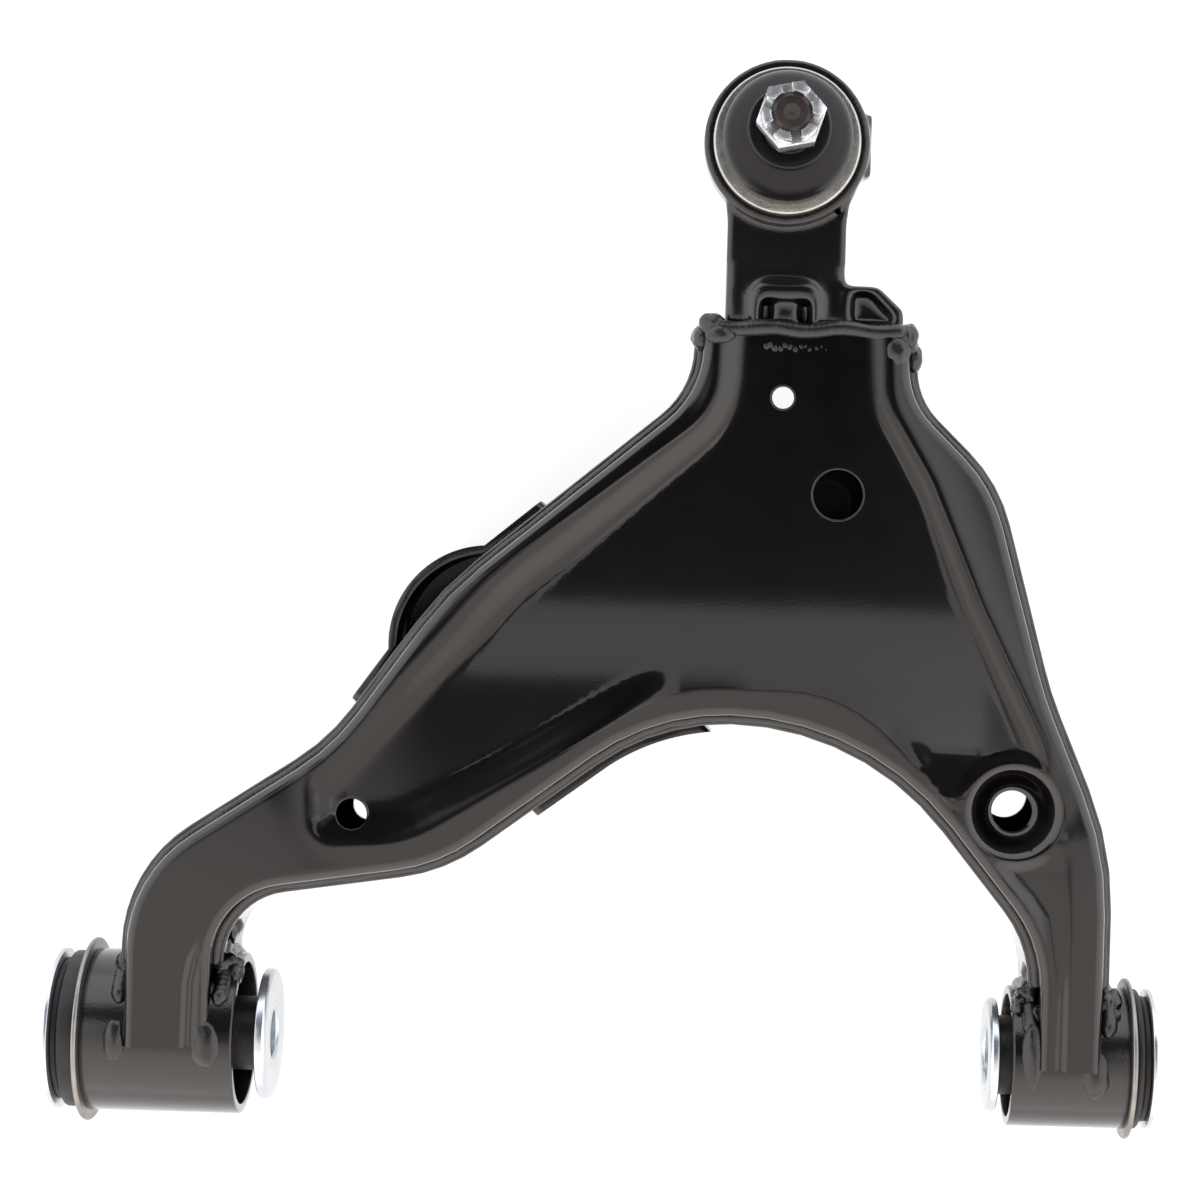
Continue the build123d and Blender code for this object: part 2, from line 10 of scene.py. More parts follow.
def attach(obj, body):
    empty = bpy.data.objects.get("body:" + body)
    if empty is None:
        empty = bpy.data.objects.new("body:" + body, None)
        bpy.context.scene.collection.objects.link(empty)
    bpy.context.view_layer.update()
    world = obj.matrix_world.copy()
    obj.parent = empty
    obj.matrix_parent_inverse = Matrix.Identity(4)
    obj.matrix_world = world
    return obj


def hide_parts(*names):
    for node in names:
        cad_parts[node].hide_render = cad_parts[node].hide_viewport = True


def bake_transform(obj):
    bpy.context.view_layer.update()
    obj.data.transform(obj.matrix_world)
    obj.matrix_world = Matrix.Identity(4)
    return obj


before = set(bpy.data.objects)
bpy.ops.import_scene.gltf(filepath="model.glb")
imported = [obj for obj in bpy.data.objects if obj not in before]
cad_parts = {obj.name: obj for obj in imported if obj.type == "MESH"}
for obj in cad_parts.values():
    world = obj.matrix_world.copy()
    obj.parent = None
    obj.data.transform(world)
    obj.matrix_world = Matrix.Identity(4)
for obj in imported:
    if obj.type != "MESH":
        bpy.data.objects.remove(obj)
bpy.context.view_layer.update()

MM = 0.001

# ---- sizes shared with the CAD part, in millimetres ----
PIVOT_SPAN = 381.0
BALL_X, BALL_Y, BALL_Z = 251.0, 375.5, 12.0
SHEET = 3.0
LARGE_TUBE_R, SMALL_TUBE_R = 33.5, 29.2
FACE_Z = LARGE_TUBE_R + SHEET
FACE_TILT = math.asin((LARGE_TUBE_R - SMALL_TUBE_R) / PIVOT_SPAN)
NEAR_DEPTH = 27.0
FAR_BOTTOM_Z = -24.0
FAR_EDGE_BELOW_FACE = 12.5
FAR_OUTSET = 4.0
NEAR_BEND_R, FAR_BEND_R = 4.0, 5.0
LEG_END_Y, NECK_END_Y = -1.5, 298.0

# holes, each (x, y, radius); the one in the dimple takes a bolt
NECK_HOLE = (252.3, 270.7, 4.75)
PANEL_HOLE = (275.9, 231.7, 10.4)
LEFT_HOLE = (81.3, 95.8, 6.5)
DIMPLE_X, DIMPLE_Y, DIMPLE_HOLE_R = 351.8, 104.0, 8.4
FAR_NECK_HOLE = (252.3, 270.7, 10.0)
FAR_DIMPLE_HOLE = (353.0, 107.5, 9.4)

LEFT_CORNERS = [(-9.0, -21.5), (-9.0, 68.5), (72.4, 122.8), (117.4, 186.6), (219.3, 272.1), (219.3, 318.0)]
LEFT_RADII = [56.0, 90.0, 130.0, 40.0]
RIGHT_CORNERS = [
    (303.8, 318.0), (303.8, 271.2), (339.5, 236.8), (363.0, 151.6), (390.3, 88.3), (390.3, -21.5)]
RIGHT_RADII = [33.0, 62.0, 150.0, 125.0]
ARCH_CORNERS = [
    (364.8, -21.5), (364.8, 50.2), (291.3, 140.2), (203.1, 140.2), (117.5, 75.9), (25.2, 61.6),
    (25.2, -21.5)]
ARCH_RADII = [53.0, 118.0, 95.0, 70.0, 32.0]
RECESS_CORNERS = [
    (225.3, 312.0), (224.0, 265.5), (134.5, 194.5), (62.0, 110.0), (64.0, 82.5), (104.0, 84.5),
    (212.0, 151.5), (283.0, 151.5), (327.0, 104.0), (370.0, 108.0), (365.0, 131.0), (336.5, 188.0),
    (316.0, 237.5), (297.0, 270.0), (294.8, 312.0)]
RECESS_RADII = [2.0, 30.0, 150.0, 14.0, 12.0, 50.0, 60.0, 60.0, 8.0, 6.0, 60.0, 60.0, 60.0, 28.0, 2.0]
RECESS_DEPTH = 3.4


# ---- plane geometry ----
def corner_arc(before, here, after, radius, turn, least, limit=None):
    """Points round one corner, a turn apart; a limit is the most of each side that the round takes."""
    a = (before - here) / np.linalg.norm(before - here)
    b = (after - here) / np.linalg.norm(after - here)
    half = math.acos(max(-1, min(1, a @ b))) / 2
    reach = radius / math.tan(half)
    if limit:
        if half > 1.54:
            return [here]
        reach = min(reach, limit * np.linalg.norm(before - here), limit * np.linalg.norm(after - here))
        radius = reach * math.tan(half)
    start, end = here + a * reach, here + b * reach
    centre = here + (a + b) / np.linalg.norm(a + b) * radius / math.sin(half)
    a0 = math.atan2(*(start - centre)[::-1])
    a1 = math.atan2(*(end - centre)[::-1])
    sweep = (a1 - a0 + math.pi) % (2 * math.pi) - math.pi
    steps = max(least, int(abs(sweep) / turn))
    angles = [a0 + sweep * s / steps for s in range(steps + 1)]
    return [centre + radius * np.array([math.cos(angle), math.sin(angle)]) for angle in angles]


def filleted(corners, radii, closed=False):
    """Polyline through corners with a round at each inner corner (every corner when closed)."""
    pts = [np.array(c, float) for c in corners]
    n = len(pts)
    out = [] if closed else [pts[0]]
    for k, i in enumerate(range(n) if closed else range(1, n - 1)):
        out += corner_arc(pts[i - 1], pts[i], pts[(i + 1) % n], radii[k], 0.12, 2)
    if not closed:
        out.append(pts[-1])
    return np.array(out)


def spaced(line, step, closed=False):
    """The same polyline with points a step apart."""
    line = np.vstack([line, line[:1]]) if closed else line
    seg = np.linalg.norm(np.diff(line, axis=0), axis=1)
    run = np.concatenate([[0], np.cumsum(seg)])
    count = max(2, int(round(run[-1] / step)) + 1)
    at = np.linspace(0, run[-1], count)
    out = np.column_stack([np.interp(at, run, line[:, 0]), np.interp(at, run, line[:, 1])])
    return out[:-1] if closed else out


def clipped(line, low, high):
    """The run of the polyline between two heights of y."""
    fine = spaced(line, 0.25)
    return fine[(fine[:, 1] >= low) & (fine[:, 1] <= high)]


def normals(line, closed=False):
    """Unit normals to the right of the direction of travel."""
    if closed:
        t = np.roll(line, -1, 0) - np.roll(line, 1, 0)
    else:
        t = np.gradient(line, axis=0)
    t /= np.linalg.norm(t, axis=1)[:, None]
    return np.column_stack([t[:, 1], -t[:, 0]])


def distance(points, line, closed=False):
    """Least distance of each point to the polyline."""
    a = line if closed else line[:-1]
    b = np.roll(line, -1, 0) if closed else line[1:]
    d = b - a
    length = np.maximum((d ** 2).sum(1), 1e-12)
    out = np.full(len(points), 1e9)
    for start in range(0, len(points), 4000):
        p = points[start:start + 4000]
        t = ((p[:, None, :] - a[None]) * d[None]).sum(2) / length[None]
        t = np.clip(t, 0, 1)
        near = a[None] + t[..., None] * d[None]
        out[start:start + 4000] = np.sqrt(((p[:, None, :] - near) ** 2).sum(2)).min(1)
    return out


def inside(points, loop):
    """True where a point is inside the closed loop."""
    x, y = points[:, 0], points[:, 1]
    x0, y0 = loop[:, 0], loop[:, 1]
    x1, y1 = np.roll(x0, -1), np.roll(y0, -1)
    out = np.zeros(len(points), bool)
    for i in range(len(loop)):
        if y0[i] == y1[i]:
            continue
        crossing_x = (x1[i] - x0[i]) * (y - y0[i]) / (y1[i] - y0[i]) + x0[i]
        out ^= ((y0[i] > y) != (y1[i] > y)) & (x < crossing_x)
    return out


def signed(points, loop):
    """Distance to the loop, negative inside it."""
    d = distance(points, loop, closed=True)
    return np.where(inside(points, loop), -d, d)


def smooth(t):
    """Smooth step from 0 to 1."""
    t = np.clip(t, 0, 1)
    return t * t * (3 - 2 * t)


LEFT = clipped(filleted(LEFT_CORNERS, LEFT_RADII), LEG_END_Y, NECK_END_Y)
RIGHT = clipped(filleted(RIGHT_CORNERS, RIGHT_RADII), LEG_END_Y, NECK_END_Y)
ARCH = clipped(filleted(ARCH_CORNERS, ARCH_RADII), LEG_END_Y, NECK_END_Y)
RECESS = spaced(filleted(RECESS_CORNERS, RECESS_RADII, closed=True), 1.5, closed=True)


def ring(x, y, radius, step=1.0):
    """Points round a circle."""
    count = max(24, int(2 * math.pi * radius / step))
    angle = np.arange(count) * 2 * math.pi / count
    return np.column_stack([x + radius * np.cos(angle), y + radius * np.sin(angle)])


# ---- mesh helpers ----
def linked(name, data):
    """A new object in the scene."""
    obj = bpy.data.objects.new(name, data)
    bpy.context.scene.collection.objects.link(obj)
    return obj


def shaded(mesh, sharp_deg=None):
    """Smooth shading, with edges sharp past an angle where one is given."""
    for polygon in mesh.polygons:
        polygon.use_smooth = True
    if sharp_deg:
        mesh.set_sharp_from_angle(angle=math.radians(sharp_deg))


def edited(obj, change):
    """Runs a change on the object's mesh as a bmesh."""
    bm = bmesh.new()
    bm.from_mesh(obj.data)
    change(bm)
    bm.to_mesh(obj.data)
    bm.free()


def bevelled(bm, edges, size, segments):
    """Rounds edges by a size in millimetres."""
    bmesh.ops.bevel(bm, geom=edges, offset=size * MM, segments=segments, profile=0.5, affect="EDGES",
                    clamp_overlap=True)


def new_mesh(name, verts_mm, faces, sharp_deg):
    """A smooth-shaded object from points in millimetres, sharp past the given angle."""
    mesh = bpy.data.meshes.new(name)
    mesh.from_pydata([tuple(v) for v in np.asarray(verts_mm, float) * MM], [], [tuple(f) for f in faces])
    mesh.validate()
    mesh.update()
    shaded(mesh, sharp_deg)
    return linked(name, mesh)


def finish_piece(obj, material, slot_name, body, *stands_for):
    """Gives a piece its material and body, and the CAD nodes that it is shown in place of; the slot name is
    not used.
    """
    obj.data.materials.clear()
    obj.data.materials.append(material)
    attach(obj, body)
    if stands_for:
        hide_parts(*stands_for)
    return obj


# ---- node materials ----
def shader(name):
    """A material with its node tree and its main shader node."""
    material = bpy.data.materials.new(name)
    material.use_nodes = True
    tree = material.node_tree
    return material, tree, tree.nodes["Principled BSDF"]


def node(tree, kind, **inputs):
    """A node with some of its inputs set."""
    new = tree.nodes.new(kind)
    for key, value in inputs.items():
        new.inputs[key].default_value = value
    return new


def noise_map(tree, scale, detail, rough):
    """Noise over the object's own coordinates, which are metres in the arm's frame."""
    where = tree.nodes.new("ShaderNodeTexCoord")
    grain = node(tree, "ShaderNodeTexNoise", Scale=scale, Detail=detail, Roughness=rough)
    tree.links.new(where.outputs["Object"], grain.inputs["Vector"])
    return grain.outputs["Fac"]


def ramp(tree, source, low, high, value_low, value_high):
    """Maps a range of the source onto a range of values."""
    new = tree.nodes.new("ShaderNodeMapRange")
    new.inputs["From Min"].default_value = low
    new.inputs["From Max"].default_value = high
    new.inputs["To Min"].default_value = value_low
    new.inputs["To Max"].default_value = value_high
    tree.links.new(source, new.inputs["Value"])
    return new.outputs["Result"]


def colours(tree, factor, first, second):
    """Mix of two colours."""
    mix = tree.nodes.new("ShaderNodeMix")
    mix.data_type = "RGBA"
    mix.inputs[6].default_value = (*first, 1)
    mix.inputs[7].default_value = (*second, 1)
    tree.links.new(factor, mix.inputs[0])
    return mix.outputs[2]


def bumps(tree, bsdf, layers):
    """Bump nodes in a chain, each (height, strength, distance in metres)."""
    last = None
    for height, strength, reach in layers:
        bump = node(tree, "ShaderNodeBump", Strength=strength, Distance=reach)
        tree.links.new(height, bump.inputs["Height"])
        if last:
            tree.links.new(last, bump.inputs["Normal"])
        last = bump.outputs["Normal"]
    tree.links.new(last, bsdf.inputs["Normal"])
    if "Coat Normal" in bsdf.inputs:
        tree.links.new(last, bsdf.inputs["Coat Normal"])


def paint(name, dark, light, rough, wave, grain_strength, coat):
    """Gloss black coat: brown to grey cast, slow waves, fine orange peel."""
    material, tree, bsdf = shader(name)
    patches = noise_map(tree, 18, 5, 0.6)
    colour = colours(tree, ramp(tree, patches, 0.35, 0.7, 0, 1), dark, light)
    bsdf.inputs["Specular IOR Level"].default_value = 0.12
    bsdf.inputs["Coat Weight"].default_value = 1.0
    bsdf.inputs["Coat Roughness"].default_value = coat
    tree.links.new(colour, bsdf.inputs["Base Color"])
    smears = noise_map(tree, 60, 6, 0.65)
    tree.links.new(ramp(tree, smears, 0.3, 0.75, rough[0], rough[1]), bsdf.inputs["Roughness"])
    bumps(tree, bsdf, [
        (noise_map(tree, 22, 2, 0.4), wave, 0.004),
        (noise_map(tree, 900, 3, 0.5), grain_strength, 0.0004)])
    return material


def metal(name, base, tint, rough, grain_scale, grain_strength, metallic=1.0):
    """Plated or machined steel with patches, fine grain and small scratches."""
    material, tree, bsdf = shader(name)
    patches = noise_map(tree, 90, 6, 0.6)
    colour = colours(tree, ramp(tree, patches, 0.3, 0.7, 0, 1), base, tint)
    tree.links.new(colour, bsdf.inputs["Base Color"])
    bsdf.inputs["Metallic"].default_value = metallic
    smears = noise_map(tree, 240, 6, 0.65)
    tree.links.new(ramp(tree, smears, 0.25, 0.8, rough[0], rough[1]), bsdf.inputs["Roughness"])
    bumps(tree, bsdf, [
        (noise_map(tree, grain_scale, 4, 0.6), grain_strength, 0.0004),
        (noise_map(tree, 60, 3, 0.5), 0.1, 0.002)])
    return material


def rubber(name, base, bloom, rough, grain_strength, sheen=0.5):
    """Moulded rubber: a dusty bloom in patches over a darker base, and fine grain."""
    material, tree, bsdf = shader(name)
    bsdf.inputs["Specular IOR Level"].default_value = sheen
    patches = noise_map(tree, 70, 6, 0.62)
    colour = colours(tree, ramp(tree, patches, 0.35, 0.72, 0, 1), base, bloom)
    tree.links.new(colour, bsdf.inputs["Base Color"])
    smears = noise_map(tree, 150, 5, 0.6)
    tree.links.new(ramp(tree, smears, 0.3, 0.75, rough[0], rough[1]), bsdf.inputs["Roughness"])
    bumps(tree, bsdf, [
        (noise_map(tree, 1500, 3, 0.6), grain_strength, 0.0003),
        (noise_map(tree, 45, 2, 0.5), 0.08, 0.002)])
    return material


BLACK = paint(
    "black_paint", dark=(0.0011, 0.0010, 0.0011), light=(0.0022, 0.0017, 0.0016), rough=(0.22, 0.30),
    wave=0.008, grain_strength=0.006, coat=0.05)
CAST_DARK, CAST_LIGHT = (0.0011, 0.0010, 0.0012), (0.0024, 0.0020, 0.0021)
BLACK_ROUGH = paint(
    "black_paint_cast", CAST_DARK, CAST_LIGHT, rough=(0.26, 0.38), wave=0.22, grain_strength=0.15,
    coat=0.17)
WELD_PAINT = paint(
    "black_paint_weld", CAST_DARK, CAST_LIGHT, rough=(0.24, 0.34), wave=0.6, grain_strength=0.3, coat=0.33)
ZINC = metal("zinc_plate", (0.80, 0.84, 0.87), (0.60, 0.63, 0.65), (0.12, 0.28), 700, 0.16, 0.85)
ZINC_WASHER = metal(
    "zinc_plate_washer", (0.56, 0.60, 0.63), (0.50, 0.54, 0.57), (0.20, 0.30), 700, 0.04, 0.9)
ZINC_FLANGE = metal(
    "zinc_plate_housing", (0.46, 0.46, 0.43), (0.33, 0.34, 0.31), (0.20, 0.32), 900, 0.12, 0.95)
ZINC_DULL = metal(
    "zinc_plate_flange", (0.30, 0.285, 0.265), (0.20, 0.19, 0.18), (0.28, 0.46), 900, 0.3, 0.95)
STUD_METAL = metal("stud_steel", (0.035, 0.028, 0.026), (0.016, 0.013, 0.012), (0.30, 0.5), 900, 0.3, 0.5)
RING_METAL = metal("ring_steel", (0.05, 0.05, 0.052), (0.09, 0.085, 0.08), (0.3, 0.45), 800, 0.2)
BUSH_RUBBER = rubber("bush_rubber", (0.005, 0.005, 0.0055), (0.010, 0.0095, 0.010), (0.38, 0.6), 0.3, 0.4)
BOOT_RUBBER = rubber(
    "boot_rubber", (0.0032, 0.0026, 0.0032), (0.0048, 0.0038, 0.0046), (0.27, 0.36), 0.04, 0.22)
RING_RUBBER = rubber(
    "ring_rubber", (0.0018, 0.0018, 0.0020), (0.0030, 0.0028, 0.0030), (0.22, 0.32), 0.03, 0.3)
POLYMER = rubber("seat_polymer", (0.75, 0.72, 0.62), (0.68, 0.65, 0.55), (0.4, 0.55), 0.1)


# ---- pressed sheets ----
def ease(t, low, high):
    """0 below low, 1 above high, smooth between."""
    return smooth((t - low) / (high - low))


def rounded_ramp(t, width, rounding):
    """Rises from 0 to 1 over the width, each corner rounded over twice the rounding."""
    def turned_up(u):
        return np.where(u < -rounding, 0, np.where(u > rounding, u, (u + rounding) ** 2 / (4 * rounding)))
    return (turned_up(t) - turned_up(t - width)) / width


def recess_height(x, y, into):
    """Height and depth of the sunk panel, shallower at its left end and level with the rim by the arch."""
    at_left_end = ease(-x, -150, -95)
    up_left = ease(-x, -235, -150) * ease(y, 150, 175)
    width = 8.5 + 3.0 * at_left_end + 3.0 * up_left - 2.5 * ease(x, 270, 300)
    depth = RECESS_DEPTH * (1 - 0.3 * at_left_end - 0.5 * ease(x, 190, 300))
    level_with_arch = ease(x, 165, 215) * ease(-x, -336, -298) * ease(-y, -185, -160)
    fall = rounded_ramp(into - 2.0, width, 2.2 + 1.6 * at_left_end + 1.2 * up_left)
    return -depth * (fall + (1 - fall) * level_with_arch), depth


def rim_lean(x, y, into):
    """How far the face leans down from its crest to the outer bend."""
    reach, crest_r = 17.0, 1.2
    right_rim = ease(x + 0.45 * y, 375, 395)
    left_rim = ease(y - 0.84 * x - 50, -10, 10)
    lean = 0.085 + 0.075 * right_rim + 0.06 * left_rim
    lean = lean * ease(x + 0.6 * y, 105, 150) * np.where(x > 300, ease(y, 92, 130), 1)
    beyond = np.maximum(0, np.sqrt(np.minimum(0, into) ** 2 + crest_r ** 2) - crest_r)
    return lean * reach * np.tanh(beyond / reach)


def above_dimple(x, y, into, h, depth):
    """The recess ends above the dimple in a plane that rises towards the leg from a crisp crease."""
    end_plane = -0.5 * RECESS_DEPTH + 0.09 * (127.6 - 0.03 * (x - 304) - y)
    there = (x > 300) & (into > 0) & (y < 135)
    return np.where(there, np.maximum(h, np.clip(end_plane, -depth, -0.1)), h)


def with_dimple(h, r):
    """A raised ring with a cone down to the hole, r from the hole's centre."""
    ring_r, ring_width, ring_drop = 26.0, 7.5, 0.2
    cone_r, cone_width, cone_depth = 20.3, 12.3, 11.0
    ring_lift = smooth((ring_r - r) / ring_width)
    h = h * (1 - ring_lift) - ring_drop * ring_lift
    return h - cone_depth * smooth((cone_r - r) / cone_width)


def right_leg_valley(x, y, r):
    """Depth of the valley down the right leg: a steep bank by the arch and a long gentle one opposite."""
    bank_width, crown_x, line_x = 9.5, 376.0, 373.6
    bank_x = np.interp(y, [5, 40, 62, 70, 78, 90], [371.6, 370.6, 367.0, 361.5, 354.0, 346.0])
    low = 0.10 * (crown_x - bank_x) + 0.4
    steep = smooth((x - bank_x + bank_width) / bank_width)
    gentle = np.clip((crown_x + 1.0 - x) / (crown_x + 1.0 - bank_x), 0, 1)
    gentle = np.where(gentle < 0.15, gentle ** 2 / 0.3, gentle - 0.075) / 0.925
    valley = low * np.where(x < bank_x, steep, gentle) * (x > 330)
    line = 0.7 * ease(-y, -46, -25) * smooth(1 - np.abs(x - line_x) / 2.6)
    return valley * ease(-y, -94, -80) * smooth((r - 19.0) / 6.0) + line


def left_leg_groove(x, y):
    """Depth of the groove down the left leg's end, with the strip inside it sloping away."""
    groove_x = np.interp(y, [0, 25, 35, 45.3], [16.0, 16.3, 18.0, 21.9])
    fade = smooth((47.0 - y) / 16.0)
    side = x - groove_x
    groove = 1.2 * smooth(1 - np.abs(side - 0.4) / 2.4)
    return fade * (groove + 3.0 * smooth((side + 1.0) / 9.0)) * (x < 60)


def face_height(p):
    """Height of the near pressing's face at points (x, y), 0 on its crest."""
    x, y = p[:, 0], p[:, 1]
    into = -signed(p, RECESS)
    r = np.hypot(x - DIMPLE_X, y - DIMPLE_Y)
    h, depth = recess_height(x, y, into)
    h = above_dimple(x, y, into, h - rim_lean(x, y, into), depth)
    return with_dimple(h, r) - right_leg_valley(x, y, r) - left_leg_groove(x, y)


def thinned(points, least):
    """Drops points nearer than least to an earlier one."""
    cells, keep = {}, []
    for i, (x, y) in enumerate(points):
        key = (int(x // least), int(y // least))
        near = False
        for a in (-1, 0, 1):
            for b in (-1, 0, 1):
                for j in cells.get((key[0] + a, key[1] + b), ()):
                    if (points[j][0] - x) ** 2 + (points[j][1] - y) ** 2 < least * least:
                        near = True
        if not near:
            cells.setdefault(key, []).append(i)
            keep.append(i)
    return points[keep]


def triangulated(loop, holes, inner):
    """Triangles over the loop with its holes left open, on given inner points."""
    coords = [Vector(p) for p in loop]
    edges = [(i, (i + 1) % len(loop)) for i in range(len(loop))]
    for hole in holes:
        base = len(coords)
        coords += [Vector(p) for p in hole]
        edges += [(base + i, base + (i + 1) % len(hole)) for i in range(len(hole))]
    coords += [Vector(p) for p in inner]
    verts, _, faces, _, _, _ = delaunay_2d_cdt(coords, edges, [], 0, 1e-5, False)
    verts = np.array([tuple(v) for v in verts])
    tri = np.array([f for f in faces if len(f) == 3])
    mid = verts[tri].mean(1)
    keep = inside(mid, loop)
    for hole in holes:
        keep &= ~inside(mid, hole)
    return verts, tri[keep]


def onto_face(p):
    """Moves points from the flat drawing of the near face to where it lies on both tubes."""
    c, s = math.cos(FACE_TILT), math.sin(FACE_TILT)
    return np.column_stack([p[:, 0] * c + p[:, 2] * s, p[:, 1], FACE_Z - p[:, 0] * s + p[:, 2] * c])


def tube_cut(p, slack):
    """True where a point is inside one of the bush tubes."""
    radius = np.where(p[:, 0] < 200, LARGE_TUBE_R, SMALL_TUBE_R) - slack
    return p[:, 1] ** 2 + p[:, 2] ** 2 < radius ** 2


def boundary_loop(out, step=1.2):
    """The outline's three long sides as points, each moved out by an offset."""
    chains = []
    for line in (LEFT, RIGHT, ARCH):
        points = spaced(line, step)
        points = points - normals(points) * out
        chains.append(points)
    return chains


def thick(verts, faces, thickness):
    """Closes an open skin into a sheet by adding its back and its edges."""
    verts = np.asarray(verts, float)
    normal = np.zeros_like(verts)
    for face in faces:
        corner = verts[list(face)]
        n = np.cross(corner[1] - corner[0], corner[2] - corner[0])
        if len(face) == 4:
            n = n + np.cross(corner[2] - corner[0], corner[3] - corner[0])
        for i in face:
            normal[i] += n
    normal /= np.maximum(np.linalg.norm(normal, axis=1), 1e-12)[:, None]
    count = len(verts)
    back = verts - normal * thickness
    seen = {}
    for face in faces:
        for a, b in zip(face, list(face[1:]) + [face[0]]):
            seen[(a, b)] = seen.get((a, b), 0) + 1
    edges = [(a, b) for (a, b) in seen if (b, a) not in seen]
    out = [list(f) for f in faces]
    out += [[i + count for i in reversed(f)] for f in faces]
    out += [[b, a, a + count, b + count] for a, b in edges]
    return np.vstack([verts, back]), out


def end_line(a, b, step=1.5):
    """Points between two corners, both left out."""
    count = max(2, int(np.linalg.norm(b - a) / step))
    return np.array([a + (b - a) * i / count for i in range(1, count)])


def flat_with_strips(inner_out, holes, extra, height, strip_rows):
    """Skin made of a flat part inside the outline and strips bent down along its three long sides.
    strip_rows(point, normal, edge height) gives the strip's points from the flat part outwards."""
    chains = boundary_loop(inner_out)
    pieces, index, total = [], [], 0
    for i, chain in enumerate(chains):
        index.append(np.arange(total, total + len(chain)))
        pieces.append(chain)
        total += len(chain)
        gap = end_line(chain[-1], chains[(i + 1) % 3][0])
        pieces.append(gap)
        total += len(gap)
    loop = np.vstack(pieces)
    near = thinned(extra[inside(extra, loop)], 0.55)
    near = near[distance(near, loop, closed=True) > 0.6]
    for hole in holes:
        near = near[~inside(near, hole)]
        near = near[distance(near, hole, closed=True) > 0.45]
    flat, tri = triangulated(loop, holes, near)
    verts = [tuple(v) for v in np.column_stack([flat, height(flat)])]
    faces = [list(t) for t in tri]
    flat_edges = {(t[i], t[(i + 1) % 3]) for t in faces for i in range(3)}
    for chain, ids, line in zip(chains, index, (LEFT, RIGHT, ARCH)):
        n = -normals(spaced(line, 1.2))
        columns = []
        for k in range(len(chain)):
            column = [int(ids[k])]
            for point in strip_rows(chain[k], n[k], verts[ids[k]][2]):
                column.append(len(verts))
                verts.append(point)
            columns.append(column)
        backwards = (columns[0][0], columns[1][0]) in flat_edges
        for left, right in zip(columns[:-1], columns[1:]):
            for r in range(len(left) - 1):
                quad = [left[r], left[r + 1], right[r + 1], right[r]]
                faces.append(quad if backwards else quad[::-1])
    return np.array(verts), faces


def grid_points(x0, x1, y0, y1, step):
    """Points on a triangular grid over a rectangle."""
    xs, ys = np.meshgrid(np.arange(x0, x1, step), np.arange(y0, y1, step * 0.866))
    xs = xs + (np.arange(xs.shape[0]) % 2 * step / 2)[:, None]
    return np.column_stack([xs.ravel(), ys.ravel()])


def near_extra():
    """Inner points of the near face, close together at the recess wall, the dimple and the bends."""
    rings = [ring(DIMPLE_X, DIMPLE_Y, r, 1.1) for r in np.arange(9.2, 27, 0.8)]
    bands = []
    for d in np.arange(-6.0, 6.1, 0.75):
        points = RECESS + normals(RECESS, closed=True) * d
        bands.append(points[np.abs(distance(points, RECESS, closed=True) - abs(d)) < 0.15])
    rims = []
    for line in (LEFT, RIGHT, ARCH):
        line = spaced(line, 1.5)
        rims += [line + normals(line) * d for d in (5.2, 6.6, 8.4)]
    legs = [grid_points(10, 30, LEG_END_Y, 60, 0.8), grid_points(345, 390, LEG_END_Y, 98, 0.9)]
    rest = grid_points(-12, 395, LEG_END_Y, 298, 3.0)
    return np.vstack(rings + bands + legs + rims + [rest])


BEND = [math.radians(a) for a in (12, 26, 42, 58, 74, 90)]


def far_edge_height(x):
    """Height of the far pressing's cut edge, which follows the near face down along +X."""
    return FACE_Z - x * math.tan(FACE_TILT) - FAR_EDGE_BELOW_FACE


def near_strip(point, n, edge):
    """The near pressing's bend and side, from its flat part's edge height down."""
    radius = NEAR_BEND_R
    rows = [(point + n * radius * math.sin(a), edge - radius * (1 - math.cos(a))) for a in BEND]
    side = point + n * radius
    rows += [(side, edge - radius - f * (NEAR_DEPTH - radius)) for f in (0.08, 0.25, 0.5, 0.75, 1.0)]
    return [(p[0], p[1], z) for p, z in rows]


def near_pressing():
    """The near pressing: its shaped face and its three bent-down sides."""
    holes = [ring(*NECK_HOLE, 0.8), ring(*PANEL_HOLE), ring(*LEFT_HOLE, 0.8)]
    holes.append(ring(DIMPLE_X, DIMPLE_Y, DIMPLE_HOLE_R, 0.8))
    verts, faces = flat_with_strips(-NEAR_BEND_R, holes, near_extra(), face_height, near_strip)
    verts = onto_face(verts)
    mid = np.array([verts[f].mean(0) for f in faces])
    cut = tube_cut(mid, 0.3)
    faces = [f for f, gone in zip(faces, cut) if not gone]
    verts, faces = thick(verts, faces, SHEET)
    obj = new_mesh("near_pressing", verts, faces, 40)
    return finish_piece(obj, BLACK, "black_paint", "arm", "near_shell")


def far_strip(point, n, edge):
    """The far pressing's bend and side, from its floor at the edge height up to its cut edge."""
    radius = FAR_BEND_R
    rows = [(point + n * radius * math.sin(a), edge + radius * (1 - math.cos(a))) for a in BEND]
    side = point + n * radius
    top = far_edge_height(point[0])
    low = edge + radius
    rows += [(side, low + f * (top - low)) for f in np.linspace(0, 1, 15)[1:]]
    return [(p[0], p[1], z) for p, z in rows]


